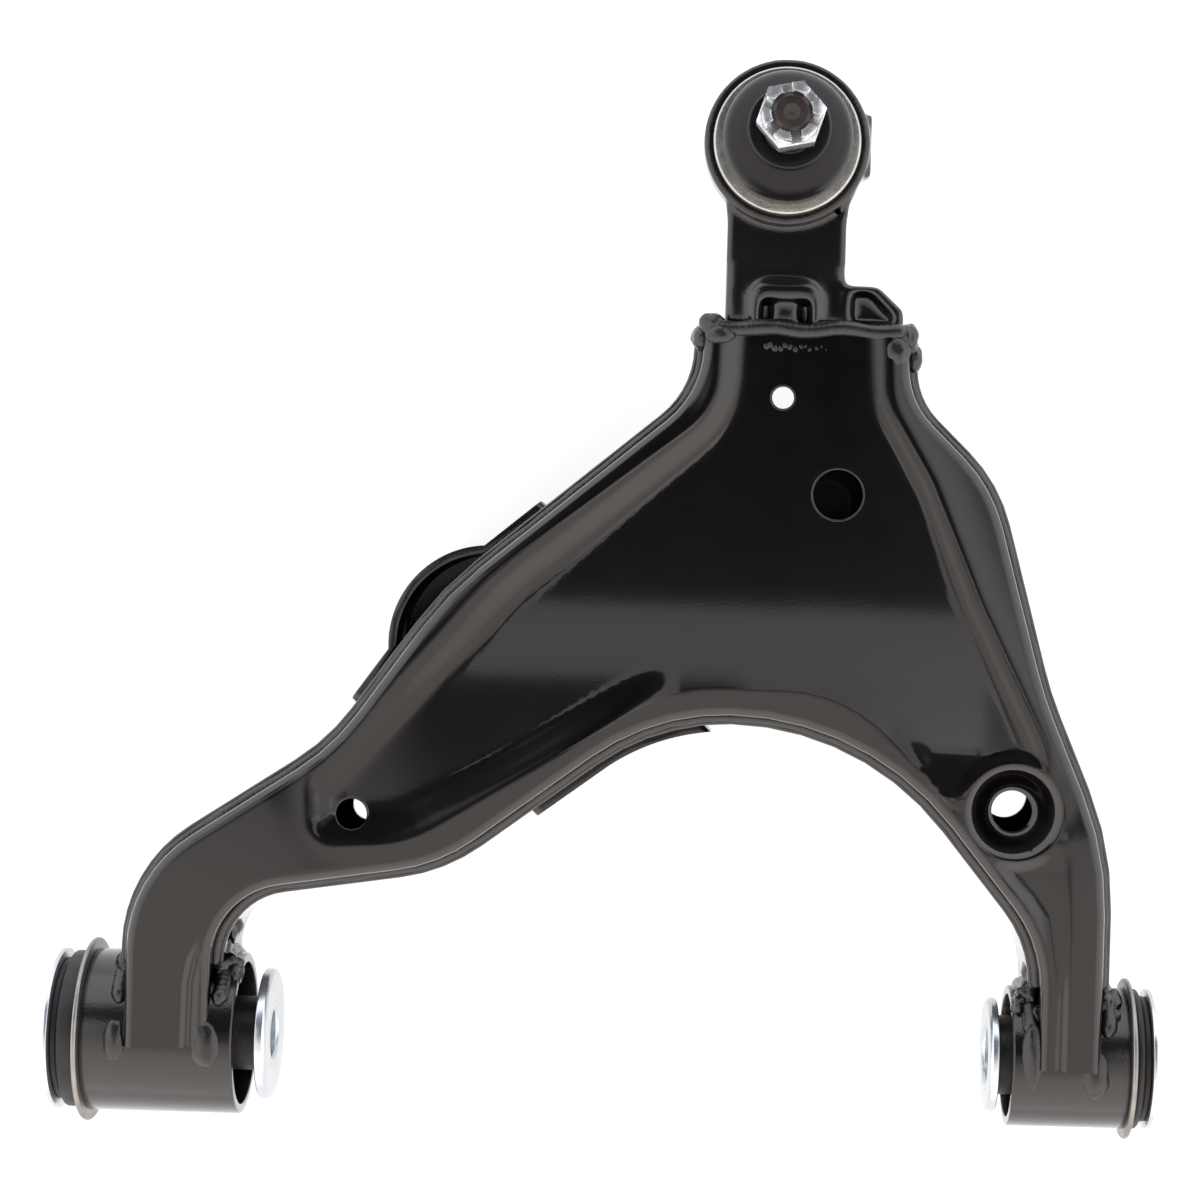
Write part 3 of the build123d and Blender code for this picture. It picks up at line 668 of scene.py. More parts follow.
def far_pressing():
    """The far pressing: a flat floor, three sides bent up and a rounded cut edge."""
    holes = [ring(*FAR_NECK_HOLE), ring(*LEFT_HOLE, 0.8), ring(*FAR_DIMPLE_HOLE)]
    extra = np.vstack([
        grid_points(-12, 395, LEG_END_Y, 298, 4.0), grid_points(-12, 60, LEG_END_Y, 40, 1.0),
        grid_points(355, 395, LEG_END_Y, 40, 1.0)])
    extra = extra[extra[:, 1] < NECK_END_Y - 4]
    verts, faces = flat_with_strips(
        FAR_OUTSET - FAR_BEND_R, holes, extra, lambda p: np.full(len(p), FAR_BOTTOM_Z), far_strip)
    mid = np.array([verts[f].mean(0) for f in faces])
    gone = tube_cut(mid, 0.3) | (mid[:, 1] > NECK_END_Y - 3)
    # the underside's triangles face down, unlike the near face's
    faces = [list(reversed(f)) for f, cut in zip(faces, gone) if not cut]
    verts, faces = thick(verts, faces, SHEET)
    obj = new_mesh("far_pressing", verts, faces, 40)

    def round_cut_edge(bm):
        top_edges = []
        for edge in bm.edges:
            if len(edge.link_faces) == 2 and edge.calc_face_angle(0) > 1.2:
                if all(abs(v.co.z / MM - far_edge_height(v.co.x / MM)) < 0.2 for v in edge.verts):
                    top_edges.append(edge)
        bevelled(bm, top_edges, 1.1, 3)

    edited(obj, round_cut_edge)
    shaded(obj.data, 40)
    return finish_piece(obj, BLACK, "black_paint", "arm", "far_shell")


def hole_lips():
    """Rolled lip round each plain hole in the near face."""
    around, section = 72, 10
    lip_r, lip_inset, lip_drop = 0.55, 0.25, 0.42
    for index, (x, y, radius) in enumerate((NECK_HOLE, PANEL_HOLE, LEFT_HOLE)):
        height = float(onto_face(np.array([[x, y, face_height(np.array([[x, y]]))[0]]]))[0][2])
        verts, faces = [], []
        for i in range(around):
            a = 2 * math.pi * i / around
            for j in range(section):
                b = 2 * math.pi * j / section
                reach = radius + lip_inset + lip_r * math.cos(b)
                rise = height - lip_drop + lip_r * math.sin(b)
                verts.append((x + reach * math.cos(a), y + reach * math.sin(a), rise))
                k, m = (i + 1) % around, (j + 1) % section
                faces.append([i * section + j, k * section + j, k * section + m, i * section + m])
        lip = new_mesh("hole_lip_%d" % (index + 1), verts, faces, 60)
        finish_piece(lip, BLACK, "black_paint", "arm")


near_pressing()
far_pressing()
hole_lips()


# ---- turned pieces ----
AROUND = 112


def profile_points(corners):
    """Closed profile from (along, radius, round) corners."""
    pts = [np.array(c[:2], float) for c in corners]
    out = []
    for i, (here, corner) in enumerate(zip(pts, corners)):
        if corner[2] <= 0:
            out.append(here)
        else:
            out += corner_arc(pts[i - 1], here, pts[(i + 1) % len(pts)], corner[2], 0.3, 3, limit=0.49)
    return np.array(out)


def turned(name, corners, axis, centre, around, sharp=42):
    """Solid turned about an axis from (along, radius, round) corners."""
    profile = profile_points(corners)
    count = len(profile)
    angle = np.arange(around) * 2 * math.pi / around
    verts = []
    for t in angle:
        for along, r in profile:
            if axis == "X":
                verts.append((centre[0] + along, centre[1] + r * math.cos(t), centre[2] + r * math.sin(t)))
            else:
                verts.append((centre[0] + r * math.cos(t), centre[1] + r * math.sin(t), centre[2] + along))
    faces = []
    for i in range(around):
        for j in range(count):
            a, b = i * count + j, i * count + (j + 1) % count
            c, d = (i + 1) % around * count + (j + 1) % count, (i + 1) % around * count + j
            faces.append([a, b, c, d])
    obj = new_mesh(name, verts, faces, sharp)

    def closed_up(bm):
        bmesh.ops.remove_doubles(bm, verts=bm.verts, dist=1e-6)
        bmesh.ops.dissolve_degenerate(bm, edges=bm.edges, dist=1e-7)
        bmesh.ops.recalc_face_normals(bm, faces=bm.faces)

    edited(obj, closed_up)
    shaded(obj.data, sharp)
    return obj


def copy_of(node_name, name):
    """A separate object with a copy of a CAD node's mesh."""
    return linked(name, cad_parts[node_name].data.copy())


def cad_copy(node_name, name, material, slot_name, body, bevel, segments=2):
    """A CAD piece with its edges rounded, shown in place of the plain one."""
    obj = copy_of(node_name, name)

    def rounded(bm):
        bmesh.ops.remove_doubles(bm, verts=bm.verts, dist=2e-6)
        bmesh.ops.dissolve_limit(bm, angle_limit=math.radians(1.5), verts=bm.verts, edges=bm.edges)
        if bevel:
            sharp = math.radians(40)
            edges = [e for e in bm.edges if len(e.link_faces) == 2 and e.calc_face_angle(0) > sharp]
            bevelled(bm, edges, bevel, segments)

    edited(obj, rounded)
    shaded(obj.data, 32)
    return finish_piece(obj, material, slot_name, body, node_name)


BUSH_WALL, BUSH_FLANGE, MOUTH_INSET = 1.7, 2.2, 9


def bush_looks(size, centre_x, side, tube, shell_r, tube_r, flange_r, lip_r, sleeve, ends, thin_washer,
    thick_washer, body):
    """Everything on the pivot axis at one leg. Distances along the axis are positive towards the flange."""
    in_r, out_r = sleeve
    back_end, front_end = ends
    thin_r, thin = thin_washer
    thick_r, thick = thick_washer
    bore_r = shell_r - BUSH_WALL
    inner_end, tube_end = tube
    lip_start = tube_end + BUSH_FLANGE

    def made(name, corners, material, slot_name, rider, node_name):
        corners = [(side * a, r, c) for a, r, c in corners]
        if side < 0:
            corners = corners[::-1]
        obj = turned(size + name, corners, "X", (centre_x, 0, 0), AROUND)
        return finish_piece(obj, material, slot_name, rider, node_name)

    made("_tube", [
        (inner_end, shell_r, 0.4), (tube_end, shell_r, 0.2), (tube_end, tube_r, 0.5),
        (inner_end, tube_r, 1.0)],
        BLACK_ROUGH, "black_paint", "arm", size + "_bush_tube")
    mouth = -tube_end + MOUTH_INSET
    made("_shell", [
        (mouth, bore_r, 0.3), (lip_start, bore_r, 0.3), (lip_start, flange_r, 1.0),
        (tube_end, flange_r, 1.0), (tube_end, shell_r, 0.3), (mouth, shell_r, 0.3)],
        ZINC_DULL, "zinc_plate", "arm", size + "_bush_outer_shell")
    neck_r, rubber_r = out_r + 1.8, out_r + 0.05
    lip_end = front_end - thin - 0.3
    back = back_end + thick + 0.3
    made("_rubber", [
        (back, rubber_r, 0.3), (lip_end, rubber_r, 0.3), (lip_end, lip_r - 3.0, 0.5),
        (lip_end - 2.2, lip_r - 3.0, 0.8), (lip_end - 3.4, lip_r, 1.2), (lip_start + 1.2, lip_r, 1.2),
        (lip_start, lip_r - 1.2, 0.4), (lip_start, bore_r, 0), (mouth + 2, bore_r, 0.8),
        (mouth + 9, bore_r - 5, 3.0), (mouth + 9, neck_r + 2.5, 2.0), (mouth + 4, neck_r, 3.0),
        (back, neck_r, 0.8)],
        BUSH_RUBBER, "bush_rubber", "arm", size + "_bush_rubber")
    made("_sleeve", [
        (back_end, in_r + 1.2, 0.3), (back_end + 1.2, in_r, 0.3), (front_end - 1.2, in_r, 0.3),
        (front_end, in_r + 1.2, 0.3), (front_end, out_r, 0.0), (back_end, out_r, 0.0)],
        ZINC_WASHER, "zinc_plate", body, size + "_inner_sleeve")
    made("_thin_washer", [
        (front_end - thin, out_r, 0.2), (front_end, out_r, 0.2), (front_end, thin_r, 0.6),
        (front_end - thin, thin_r, 0.6)],
        ZINC_WASHER, "zinc_plate", body, size + "_outer_washer")
    made("_thick_washer", [
        (back_end + thick, out_r, 0.3), (back_end, out_r, 0.3), (back_end, thick_r - 1.2, 0.8),
        (back_end + 1.2, thick_r, 0.8), (back_end + thick, thick_r, 0.7)],
        ZINC_WASHER, "zinc_plate", body, size + "_inner_washer")


bush_looks(
    "large", centre_x=0, side=-1, tube=(-35.0, 27.5), shell_r=29.5, tube_r=LARGE_TUBE_R, flange_r=38.0,
    lip_r=32.4, sleeve=(10.25, 13.5), ends=(-47.4, 42.5), thin_washer=(33.3, 2.0), thick_washer=(27.0, 4.5),
    body="large_sleeve")
bush_looks(
    "small", centre_x=PIVOT_SPAN, side=1, tube=(-26.5, 22.0), shell_r=25.5, tube_r=SMALL_TUBE_R,
    flange_r=33.3, lip_r=29.0, sleeve=(12.0, 14.6), ends=(-35.3, 33.1), thin_washer=(29.2, 2.0),
    thick_washer=(23.6, 4.0), body="small_sleeve")


# ---- ball joint ----
BALL_AT = (BALL_X, BALL_Y, 0)


def ball_piece(name, corners, material, slot_name, body, *stands_for):
    """Piece turned about the ball joint's axis from (radius, z, round) corners."""
    corners = [(z, r, c) for r, z, c in corners]
    return finish_piece(turned(name, corners, "Z", BALL_AT, AROUND), material, slot_name, body, *stands_for)


ball_piece("joint_housing", [
    (20.0, -7.7, 0.3), (18.5, -9.5, 0.5), (23.5, -9.5, 0.6), (24.5, -8.5, 0.6), (24.5, 30.0, 0),
    (30.2, 30.0, 0.8), (30.2, 33.4, 1.0), (19.5, 33.4, 1.0), (14.4, 22.8, 1.0), (14.4, 20.8, 0),
    (20.0, 20.8, 0)],
    ZINC_FLANGE, "zinc_plate", "arm", "ball_joint_housing")
ball_piece("joint_cover", [(0.01, -7.7, 0), (20.0, -7.7, 0.3), (20.0, -4.7, 0), (0.01, -4.7, 0)][::-1],
           ZINC_DULL, "zinc_plate", "arm", "bottom_cover")
ball_piece("joint_snap_ring", [(24.5, -4.2, 0), (27.1, -4.2, 0.5), (27.1, -1.8, 0.5), (24.5, -1.8, 0)],
           RING_METAL, "ring_steel", "arm", "retaining_ring")
ball_piece("boot_base_ring", [(25.35, 34.2, 0.4), (26.4, 34.2, 0.5), (26.4, 38.2, 0.5), (25.35, 38.2, 0.4)],
           RING_METAL, "ring_steel", "arm", "boot_base_ring")
ball_piece("boot_top_ring", [
    (15.25, 58.6, 0.3), (16.7, 58.6, 0.6), (16.7, 64.4, 1.0), (11.05, 64.4, 0.5), (11.05, 62.4, 0),
    (15.25, 62.4, 0.2)],
    RING_RUBBER, "ring_steel", "collar", "boot_top_ring")


def ball_stud():
    """Ball, neck, collar, taper and a thread of separate rings, with a centre dent in its end."""
    thread_r, root_r, thread_start, thread_end, pitch = 7.9, 7.1, 82.6, 96.4, 1.5
    ball_r = 14.0
    corners = [
        (7.2, 24.0, 0), (7.2, 43.0, 1.5), (11.0, 48.0, 0.8), (11.0, 63.0, 0.8), (9.65, 63.0, 0.2),
        (8.1, 81.6, 0.2), (thread_r, 81.6, 0)]
    z = thread_start
    while z < thread_end:
        corners += [
            (thread_r, z, 0.15), (root_r, z + 0.5, 0.1), (root_r, z + 0.62, 0.1),
            (thread_r, z + 1.12, 0.15)]
        z += pitch
    corners += [(thread_r, 96.7, 0.2), (6.2, 98.4, 0.4), (3.2, 98.4, 0.2), (0.01, 96.6, 0)]
    angles = np.linspace(-math.pi / 2, 1.03, 24)[1:]
    arc = [(ball_r * math.cos(a), BALL_Z + ball_r * math.sin(a), 0) for a in angles]
    corners = [(0.01, BALL_Z - ball_r, 0)] + arc + corners
    return ball_piece("stud", corners, STUD_METAL, "stud_steel", "stud", "ball_stud")


ball_stud()
cad_copy("bearing_seat", "joint_seat", POLYMER, "seat_polymer", "arm", 0)
cad_copy("pressure_cup", "joint_cup", POLYMER, "seat_polymer", "cup", 0)


def boot_profile():
    """Outer face from the base ring up, then the inner face back down."""
    outer = [
        (25.3, 33.5), (25.3, 38.3), (25.7, 39.4), (26.3, 41.3), (26.5, 43.4), (26.1, 46.2), (24.9, 49.2),
        (22.9, 52.0), (20.2, 54.6), (17.5, 56.6), (15.6, 57.9), (15.2, 59.0), (15.2, 62.3)]
    inner = [
        (11.05, 62.3), (11.05, 56.0), (14.0, 55.0), (17.8, 52.6), (21.2, 49.6), (23.2, 46.6),
        (23.9, 43.4), (23.6, 40.8), (22.6, 38.6), (22.5, 33.5)]
    return outer, inner


def dust_boot():
    """Rubber boot in two pieces, one below and one above a split height."""
    outer, inner = boot_profile()
    out_line = curve_through(outer, 56)
    in_line = curve_through(inner[::-1], 40)
    bottom, split, top = 39.0, 47.0, 56.0
    for name, keep, bodies, low, high in (
            ("boot_lower", lambda z: z <= split, ("arm", "cup"), bottom, split),
            ("boot_upper", lambda z: z >= split, ("cup", "collar"), split, top)):
        a = cut_line(out_line, split, keep)
        b = cut_line(in_line, split, keep)
        corners = [(r, z, 0) for r, z in a] + [(r, z, 0) for r, z in b[::-1]]
        obj = turned(name, [(z, r, c) for r, z, c in corners], "Z", BALL_AT, AROUND, 50)
        obj.data.materials.append(BOOT_RUBBER)
        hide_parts("dust_boot")
        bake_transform(obj)


def curve_through(points, count):
    """Smooth run through the points (Catmull-Rom)."""
    p = [np.array(q, float) for q in points]
    p = [2 * p[0] - p[1]] + p + [2 * p[-1] - p[-2]]
    out = []
    spans = len(p) - 3
    for i in range(spans):
        for s in range(max(2, count // spans)):
            t = s / max(2, count // spans)
            a, b, c, d = p[i:i + 4]
            low_terms = 2 * b + (c - a) * t + (2 * a - 5 * b + 4 * c - d) * t ** 2
            out.append(0.5 * (low_terms + (3 * b - a - 3 * c + d) * t ** 3))
    out.append(p[-2])
    return np.array(out)


def cut_line(line, z, keep):
    """The run of the line kept by its height, with a point added where it crosses z."""
    out = []
    for a, b in zip(line[:-1], line[1:]):
        if keep(a[1]):
            out.append(a)
        if (a[1] - z) * (b[1] - z) < 0:
            out.append(a + (b - a) * (z - a[1]) / (b[1] - a[1]))
    if keep(line[-1][1]):
        out.append(line[-1])
    return np.array(out)


dust_boot()


# ---- bracket, nut and forging ----
for node_name, edge in (
        ("shock_bracket_outer_plate", 0.9), ("shock_bracket_inner_plate", 0.9),
        ("shock_bracket_web", 0.8), ("shock_spacer_outer", 0.8), ("shock_spacer_inner", 0.8),
        ("shock_weld_nut", 0.8)):
    cad_copy(node_name, node_name + "_look", BLACK_ROUGH, "black_paint", "arm", edge)
cad_copy("castle_nut", "slotted_nut", ZINC, "zinc_plate", "stud", 0.6, 3)


def applied(obj, *modifiers):
    """Applies modifiers given as (type, settings) by taking the mesh they make."""
    for kind, settings in modifiers:
        modifier = obj.modifiers.new(kind.lower(), kind)
        for key, value in settings.items():
            setattr(modifier, key, value)
    bpy.context.view_layer.update()
    seen = obj.evaluated_get(bpy.context.evaluated_depsgraph_get())
    made = bpy.data.meshes.new_from_object(seen)
    obj.modifiers.clear()
    old, obj.data = obj.data, made
    bpy.data.meshes.remove(old)


def forged_end():
    """The forging with its edges rounded as a die leaves them, and its sides drawn in below."""
    eye_r, neck_half, draft_below_z, most_draft = 29, 24, 18, 4.0
    root_below_y, root_above_z = 326, 16
    obj = copy_of("ball_joint_forging", "forged_end")
    edited(obj, lambda bm: bmesh.ops.remove_doubles(bm, verts=bm.verts, dist=2e-6))
    obj.data.materials.clear()
    remesh = ("REMESH", {"mode": "VOXEL", "voxel_size": 0.8 * MM})
    applied(obj, remesh, ("SMOOTH", {"factor": 0.5, "iterations": 22}))

    def softened(bm):
        root = [v for v in bm.verts if v.co.y < root_below_y * MM and v.co.z > root_above_z * MM]
        for _ in range(24):
            bmesh.ops.smooth_vert(
                bm, verts=root, factor=0.5, use_axis_x=True, use_axis_y=True, use_axis_z=True)
        for vertex in bm.verts:
            x, y, z = vertex.co.x / MM - BALL_X, vertex.co.y / MM - BALL_Y, vertex.co.z / MM
            r = math.hypot(x, y)
            draft = max(0.0, min(most_draft, 0.18 * (draft_below_z - z)))
            near_eye = float(ease(y, -42, -28))
            inward = near_eye * min(draft, max(0.0, r - eye_r)) / max(r, 1)
            sideways = (1 - near_eye) * 0.85 * draft * min(1, abs(x) / neck_half)
            vertex.co.x = (BALL_X + x * (1 - inward) - math.copysign(sideways, x)) * MM
            vertex.co.y = (BALL_Y + y * (1 - inward)) * MM

    edited(obj, softened)
    shaded(obj.data)
    return finish_piece(obj, BLACK_ROUGH, "black_paint", "arm", "ball_joint_forging")


forged_end()


# ---- weld beads ----
def bead(name, path, radius, node_name, seed, flat, ripple, around=20):
    """Weld bead with the ripples a torch leaves, along (place, outward direction) points."""
    spacing, ripple_pitch = 0.45, 2.4
    place = np.array([p[0] for p in path], float)
    out_dir = np.array([p[1] for p in path], float)
    seg = np.linalg.norm(np.diff(place, axis=0), axis=1)
    run = np.concatenate([[0], np.cumsum(seg)])
    at = np.arange(0, run[-1], spacing)
    centre = np.column_stack([np.interp(at, run, place[:, i]) for i in range(3)])
    away = np.column_stack([np.interp(at, run, out_dir[:, i]) for i in range(3)])
    along = np.gradient(centre, axis=0)
    along /= np.linalg.norm(along, axis=1)[:, None]
    away -= (away * along).sum(1)[:, None] * along
    away /= np.linalg.norm(away, axis=1)[:, None]
    across = np.cross(along, away)
    verts, faces = [], []
    for k in range(len(at)):
        ends = math.sqrt(max(0.02, min(1, min(at[k], at[-1] - at[k]) / radius)))
        wobble = 1 + 0.16 * noise.noise(Vector((at[k] * 0.11, seed, 0.3)))
        beat = (at[k] / ripple_pitch + 0.5 * noise.noise(Vector((at[k] * 0.2, seed, 7.1)))) % 1.0
        size = radius * ends * wobble * (1 + ripple * (math.sin(math.pi * beat) - 0.6))
        drift = 0.22 * radius * noise.noise(Vector((at[k] * 0.07, seed, 3.7)))
        for j in range(around):
            a = 2 * math.pi * j / around
            rough = 1 + 0.05 * noise.noise(Vector((at[k] * 0.9, 3 * math.cos(a), 3 * math.sin(a) + seed)))
            sideways = across[k] * (size * rough * math.cos(a) + drift)
            verts.append(centre[k] + sideways + away[k] * size * rough * flat * math.sin(a))
        if k:
            base, last = k * around, (k - 1) * around
            for j in range(around):
                faces.append([last + j, last + (j + 1) % around, base + (j + 1) % around, base + j])
    faces.append(list(range(around))[::-1])
    faces.append([len(verts) - around + j for j in range(around)])
    obj = new_mesh(name, verts, faces, 70)
    return finish_piece(obj, WELD_PAINT, "black_paint", "arm", node_name)


def tube_beads(size, centre_x, tube_r, sides, end_deg):
    """Beads where each leg's sides meet its tube, from the far side over the crown to the leg's end."""
    low = -math.degrees(math.asin(-FAR_BOTTOM_Z / tube_r)) - 4
    for which, (x, step) in enumerate(zip(sides, (-3.6, 3.6))):
        path = []
        for deg in np.arange(low, end_deg + 0.1, 2.5):
            t = math.radians(deg)
            inset = float(np.interp(deg, [low, 50, 80, end_deg], [1.0, 1.0, 0.55, 0.75]))
            place = (x + step * inset, (tube_r + 0.2) * math.cos(t), (tube_r + 0.2) * math.sin(t))
            path.append((place, (0.45 * math.copysign(1, step), math.cos(t), math.sin(t))))
        seed = 5 + which + centre_x * 0.01
        bead(size + "_tube_bead_%d" % (which + 1), path, 3.5, size + "_tube_weld", seed, 1.0, 0.02)


tube_beads("large", 0, LARGE_TUBE_R, (-9.0, 25.2), 64)
tube_beads("small", PIVOT_SPAN, SMALL_TUBE_R, (364.8, 390.3), 66)


def lump(name, place, size, node_name, seed, rough, turn=0.0):
    """Soft blob of weld metal: half axes in millimetres, turned about +Z."""
    obj_mesh = bmesh.new()
    bmesh.ops.create_icosphere(obj_mesh, subdivisions=4, radius=1.0)
    c, s = math.cos(turn), math.sin(turn)
    for vertex in obj_mesh.verts:
        v = vertex.co.copy()
        swell = 1 + rough * noise.noise(v * 1.3 + Vector((seed, 2.1, 0.4)))
        swell += 0.35 * rough * noise.noise(v * 3.1 + Vector((seed, 9.7, 4.2)))
        x, y, z = v.x * swell * size[0], v.y * swell * size[1], v.z * swell * size[2]
        vertex.co = Vector((place[0] + x * c - y * s, place[1] + x * s + y * c, place[2] + z)) * MM
    mesh = bpy.data.meshes.new(name)
    obj_mesh.to_mesh(mesh)
    obj_mesh.free()
    shaded(mesh)
    obj = linked(name, mesh)
    return finish_piece(obj, WELD_PAINT, "black_paint", "arm", node_name)


# where the tube welds stop at the legs' ends: x, y, tube radius, half axes along x and y, turn
TUBE_WELD_ENDS = [
    (-13.0, 0.8, LARGE_TUBE_R, 4.6, 8.5, 0.0), (24.4, -0.2, LARGE_TUBE_R, 6.2, 9.5, 0.1),
    (362.6, 4.0, SMALL_TUBE_R, 4.8, 13.0, 0.0), (388.6, -2.4, SMALL_TUBE_R, 5.8, 10.0, 0.12)]
# rough weld metal where the pressings' sides meet the tubes: centre, half axes
TUBE_WELD_LUMPS = [
    ((28.0, 38.5, 11.0), (3.2, 8.0, 9.0)), ((30.6, 46.5, 9.0), (3.1, 7.0, 8.0)),
    ((362.5, 36.5, 9.0), (3.2, 8.5, 8.0)), ((29.5, 31.0, 16.0), (6.0, 5.0, 7.0)),
    ((33.0, 27.5, 17.0), (3.5, 5.0, 5.0)), ((-12.0, 30.0, 17.0), (4.0, 5.5, 6.0)),
    ((361.5, 27.0, 14.0), (6.0, 6.0, 7.0)), ((357.5, 23.5, 17.5), (3.5, 4.5, 4.5)),
    ((364.5, 19.5, 21.5), (3.5, 5.5, 3.5)), ((394.5, 25.0, 15.0), (4.5, 6.0, 6.5)),
    ((396.0, 19.0, 21.0), (3.0, 4.5, 3.0))]
# the corners of the neck weld: centre, half axes
NECK_WELD_LUMPS = [
    ((222.5, 300.0, 29.5), (5.5, 5.0, 4.5)), ((218.5, 294.5, 25.0), (4.5, 5.5, 6.0)),
    ((226.0, 295.5, 33.0), (6.0, 4.0, 3.2)), ((302.5, 296.5, 27.0), (4.8, 6.5, 6.0)),
    ((298.5, 291.0, 31.5), (5.0, 6.0, 3.2)), ((306.0, 289.0, 22.0), (3.6, 6.0, 5.0))]


def tube_weld_at(x):
    """The CAD node of the tube weld that is nearest."""
    return ("large" if x < 200 else "small") + "_tube_weld"


def weld_ends():
    """Lumps where the tube welds stop at the legs' ends, and where the neck weld turns its corners."""
    sunk, end_height = 1.4, 3.2
    for index, (x, y, tube_r, half_x, half_y, turn) in enumerate(TUBE_WELD_ENDS):
        z = math.sqrt(tube_r ** 2 - y ** 2) - sunk
        lump("tube_weld_end_%d" % (index + 1), (x, y, z), (half_x, half_y, end_height),
             tube_weld_at(x), 3.1 * index, 0.12, turn)
    for index, (place, size) in enumerate(TUBE_WELD_LUMPS):
        lump("tube_weld_lump_%d" % (index + 1), place, size, tube_weld_at(place[0]), 4.3 + 1.9 * index, 0.4)
    for index, (place, size) in enumerate(NECK_WELD_LUMPS):
        lump("neck_weld_lump_%d" % (index + 1), place, size, "forging_weld", 11.3 + 2.7 * index, 0.16)


weld_ends()


def seam_beads():
    """Bead along the far pressing's cut edge on each of the three long sides."""
    outward, rise, lean, start_y, stop_y = 1.0, 0.2, 0.5, 29, NECK_END_Y - 5
    for which, line in enumerate((LEFT, RIGHT, ARCH)):
        line = spaced(line, 2.0)
        path = []
        for p, d in zip(line, -normals(line)):
            if start_y < p[1] < stop_y:
                place = (p[0] + d[0] * outward, p[1] + d[1] * outward, far_edge_height(p[0]) + rise)
                path.append((place, (d[0] * lean, d[1] * lean, 1.0)))
        bead("seam_bead_%d" % (which + 1), path, 1.9, "seam_weld", 31 + which, 0.7, 0.03)


seam_beads()


def neck_bead():
    """Bead across the neck where the pressings end on the forging, and a row of spatter beside it."""
    left_x, fall = 221, 0.011
    path = []
    for x in np.arange(left_x, 303.1, 2):
        path.append(((x, 299.0 + 0.7 * math.sin(x * 0.21), 31.4 - fall * (x - left_x)), (0, 0.4, 1)))
    bead("neck_bead", path, 3.3, "forging_weld", 51, 0.9, 0.015)
    spatter = []
    for x in np.arange(243, 292, 1.2):
        spatter.append(((x, 291.5 + 0.9 * math.sin(x * 0.9), 30.6 - fall * (x - left_x)), (0, 0.1, 1)))
    bead("neck_spatter", spatter, 1.9, "forging_weld", 77, 0.6, 0.3)


neck_bead()


# ---- floor, light and camera ----
def card(name, place, size, strength, tint):
    """Soft rectangular light that faces down."""
    data = bpy.data.lights.new(name, "AREA")
    data.shape = "RECTANGLE"
    data.size, data.size_y = size
    data.energy = strength
    data.color = tint
    obj = linked(name, data)
    obj.location = place
    return obj


SKY_STOPS = [(0.50, 1.0), (0.85, 0.92), (0.92, 0.70), (0.96, 0.30), (0.98, 0.05), (1.0, 0.012)]
SKY_LEVEL = 2.2


def math_node(tree, operation, first, second=None):
    """Math node on numbers or on other nodes' outputs."""
    new = tree.nodes.new("ShaderNodeMath")
    new.operation = operation
    for index, value in enumerate((first, second)):
        if isinstance(value, (int, float)):
            new.inputs[index].default_value = value
        elif value is not None:
            tree.links.new(value, new.inputs[index])
    return new.outputs[0]


def eased(tree, source, low, high, value_low, value_high):
    """A smooth step between two values of the source."""
    new = tree.nodes.new("ShaderNodeMapRange")
    new.interpolation_type = "SMOOTHSTEP"
    for name, value in (
            ("From Min", low), ("From Max", high), ("To Min", value_low), ("To Max", value_high)):
        new.inputs[name].default_value = value
    tree.links.new(source, new.inputs["Value"])
    return new.outputs["Result"]


def studio_sky(tree, parts):
    """Brightness by direction: dark overhead and towards +Y, white at the sides, dim towards -Y."""
    bands = tree.nodes.new("ShaderNodeValToRGB")
    tree.links.new(parts.outputs["Z"], bands.inputs["Fac"])
    (first_at, first), *between, (last_at, last) = SKY_STOPS
    for stop, place, level in (
            (bands.color_ramp.elements[0], first_at, first), (bands.color_ramp.elements[1], last_at, last)):
        stop.position = place
        stop.color = (level, level, level, 1)
    for place, level in between:
        stop = bands.color_ramp.elements.new(place)
        stop.color = (level, level, level, 1)
    sideways = math_node(tree, "ABSOLUTE", parts.outputs["X"])
    away = math_node(tree, "SUBTRACT", parts.outputs["Y"], math_node(tree, "MULTIPLY", sideways, 0.8))
    dark = math_node(tree, "MULTIPLY", eased(tree, away, -0.06, 0.10, 0, 0.96),
        eased(tree, parts.outputs["Z"], 0.62, 0.76, 0, 1))
    sky = math_node(tree, "MULTIPLY", bands.outputs["Color"], math_node(tree, "SUBTRACT", 1, dark))
    nearer = math_node(tree, "SUBTRACT", math_node(tree, "MULTIPLY", sideways, 0.5), parts.outputs["Y"])
    near_panel = eased(tree, nearer, 0.045, 0.19, 0, 0.60)
    panel = math_node(tree, "MULTIPLY", near_panel, eased(tree, parts.outputs["Z"], 0.3, 0.8, 0, 1))
    return math_node(tree, "MULTIPLY", math_node(tree, "MAXIMUM", sky, panel), SKY_LEVEL)


FLOOR_Z = -0.0745
FLOOR_GREY, FLOOR_GLOW = (0.52, 0.52, 0.52, 1), 0.55
AWAY_TINT, NEAR_TINT = (0.975, 0.985, 1.03), (1.05, 0.975, 0.93)
# boxes in metres above the arm and in millimetres across: name, x from and to, y from and to, radiance
BOX_HEIGHT = 2.03
BOX_TINT = (1, 0.955, 0.94)
SOFT_BOXES = [("band_box", 27, 600, 95, 181, 1.28), ("low_box", 215, 590, -8, 95, 1.15)]


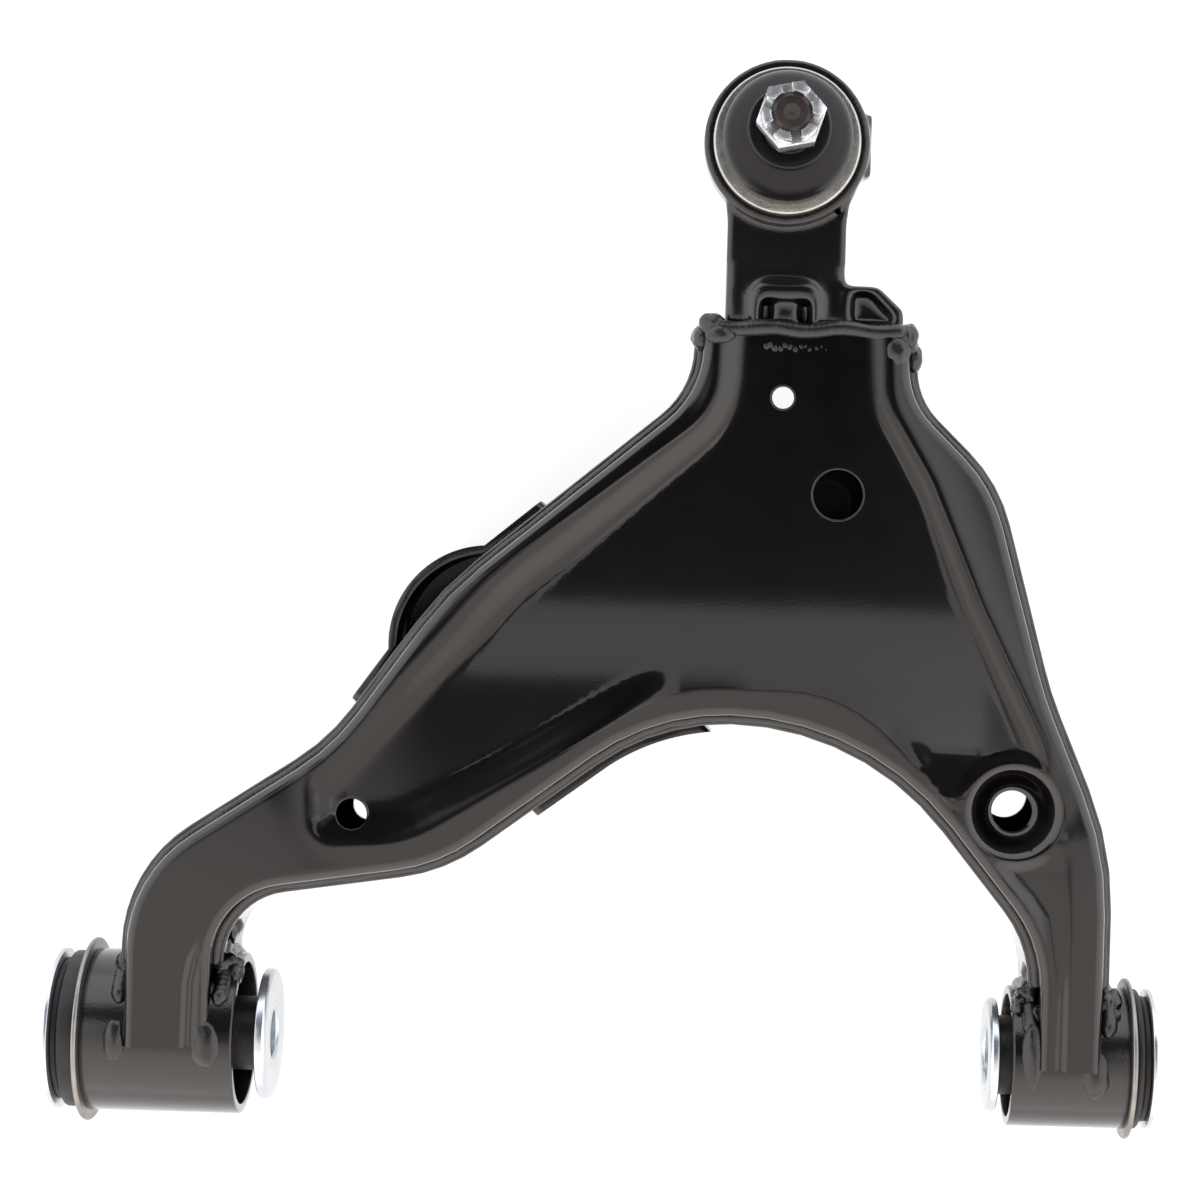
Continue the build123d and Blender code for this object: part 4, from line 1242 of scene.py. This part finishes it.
def studio():
    """Pale floor, sky and two soft boxes."""
    bpy.ops.mesh.primitive_plane_add(size=6, location=(0.2, 0.2, FLOOR_Z))
    floor = bpy.context.object
    floor.name = "floor"
    material, tree, bsdf = shader("pale_floor")
    bsdf.inputs["Base Color"].default_value = FLOOR_GREY
    bsdf.inputs["Roughness"].default_value = 0.9
    bsdf.inputs["Emission Color"].default_value = (1, 1, 1, 1)
    bsdf.inputs["Emission Strength"].default_value = FLOOR_GLOW
    floor.data.materials.append(material)
    world = bpy.data.worlds.new("studio")
    bpy.context.scene.world = world
    world.use_nodes = True
    tree = world.node_tree
    back = tree.nodes["Background"]
    where = tree.nodes.new("ShaderNodeTexCoord")
    parts = tree.nodes.new("ShaderNodeSeparateXYZ")
    tree.links.new(where.outputs["Generated"], parts.inputs["Vector"])
    sky = studio_sky(tree, parts)
    tree.links.new(sky, back.inputs["Strength"])
    warmth = eased(tree, math_node(tree, "MULTIPLY", parts.outputs["Y"], -1), -0.05, 0.12, 0, 1)
    tree.links.new(colours(tree, warmth, AWAY_TINT, NEAR_TINT), back.inputs["Color"])
    # two soft boxes above the camera: the sharp band over the plate and the dimmer one beside the arch
    for name, x0, x1, y0, y1, radiance in SOFT_BOXES:
        width, depth = (x1 - x0) * MM, (y1 - y0) * MM
        power = radiance * math.pi * width * depth
        middle = ((x0 + x1) / 2 * MM, (y0 + y1) / 2 * MM, BOX_HEIGHT)
        box = card(name, middle, (width, depth), power, BOX_TINT)
        box.visible_camera = False


CAMERA_PLACE = (0.2269, 0.1873, 1.134)
CAMERA_LENS, CAMERA_SHIFT, CAMERA_ROLL = 81.0, -0.09583, math.radians(1.673)


def view():
    """Camera straight above the arm, rolled a little."""
    data = bpy.data.cameras.new("photo_view")
    data.sensor_width = 36
    data.lens = CAMERA_LENS
    data.shift_x = CAMERA_SHIFT
    data.clip_start = 0.05
    data.clip_end = 20
    obj = linked("photo_view", data)
    right = Vector((math.cos(CAMERA_ROLL), math.sin(CAMERA_ROLL), 0))
    up = Vector((-math.sin(CAMERA_ROLL), math.cos(CAMERA_ROLL), 0))
    turn = Matrix((right, up, Vector((0, 0, 1)))).transposed()
    obj.matrix_world = Matrix.Translation(CAMERA_PLACE) @ turn.to_4x4()
    bpy.context.scene.camera = obj


studio()
view()
bpy.context.scene.view_settings.view_transform = "Standard"
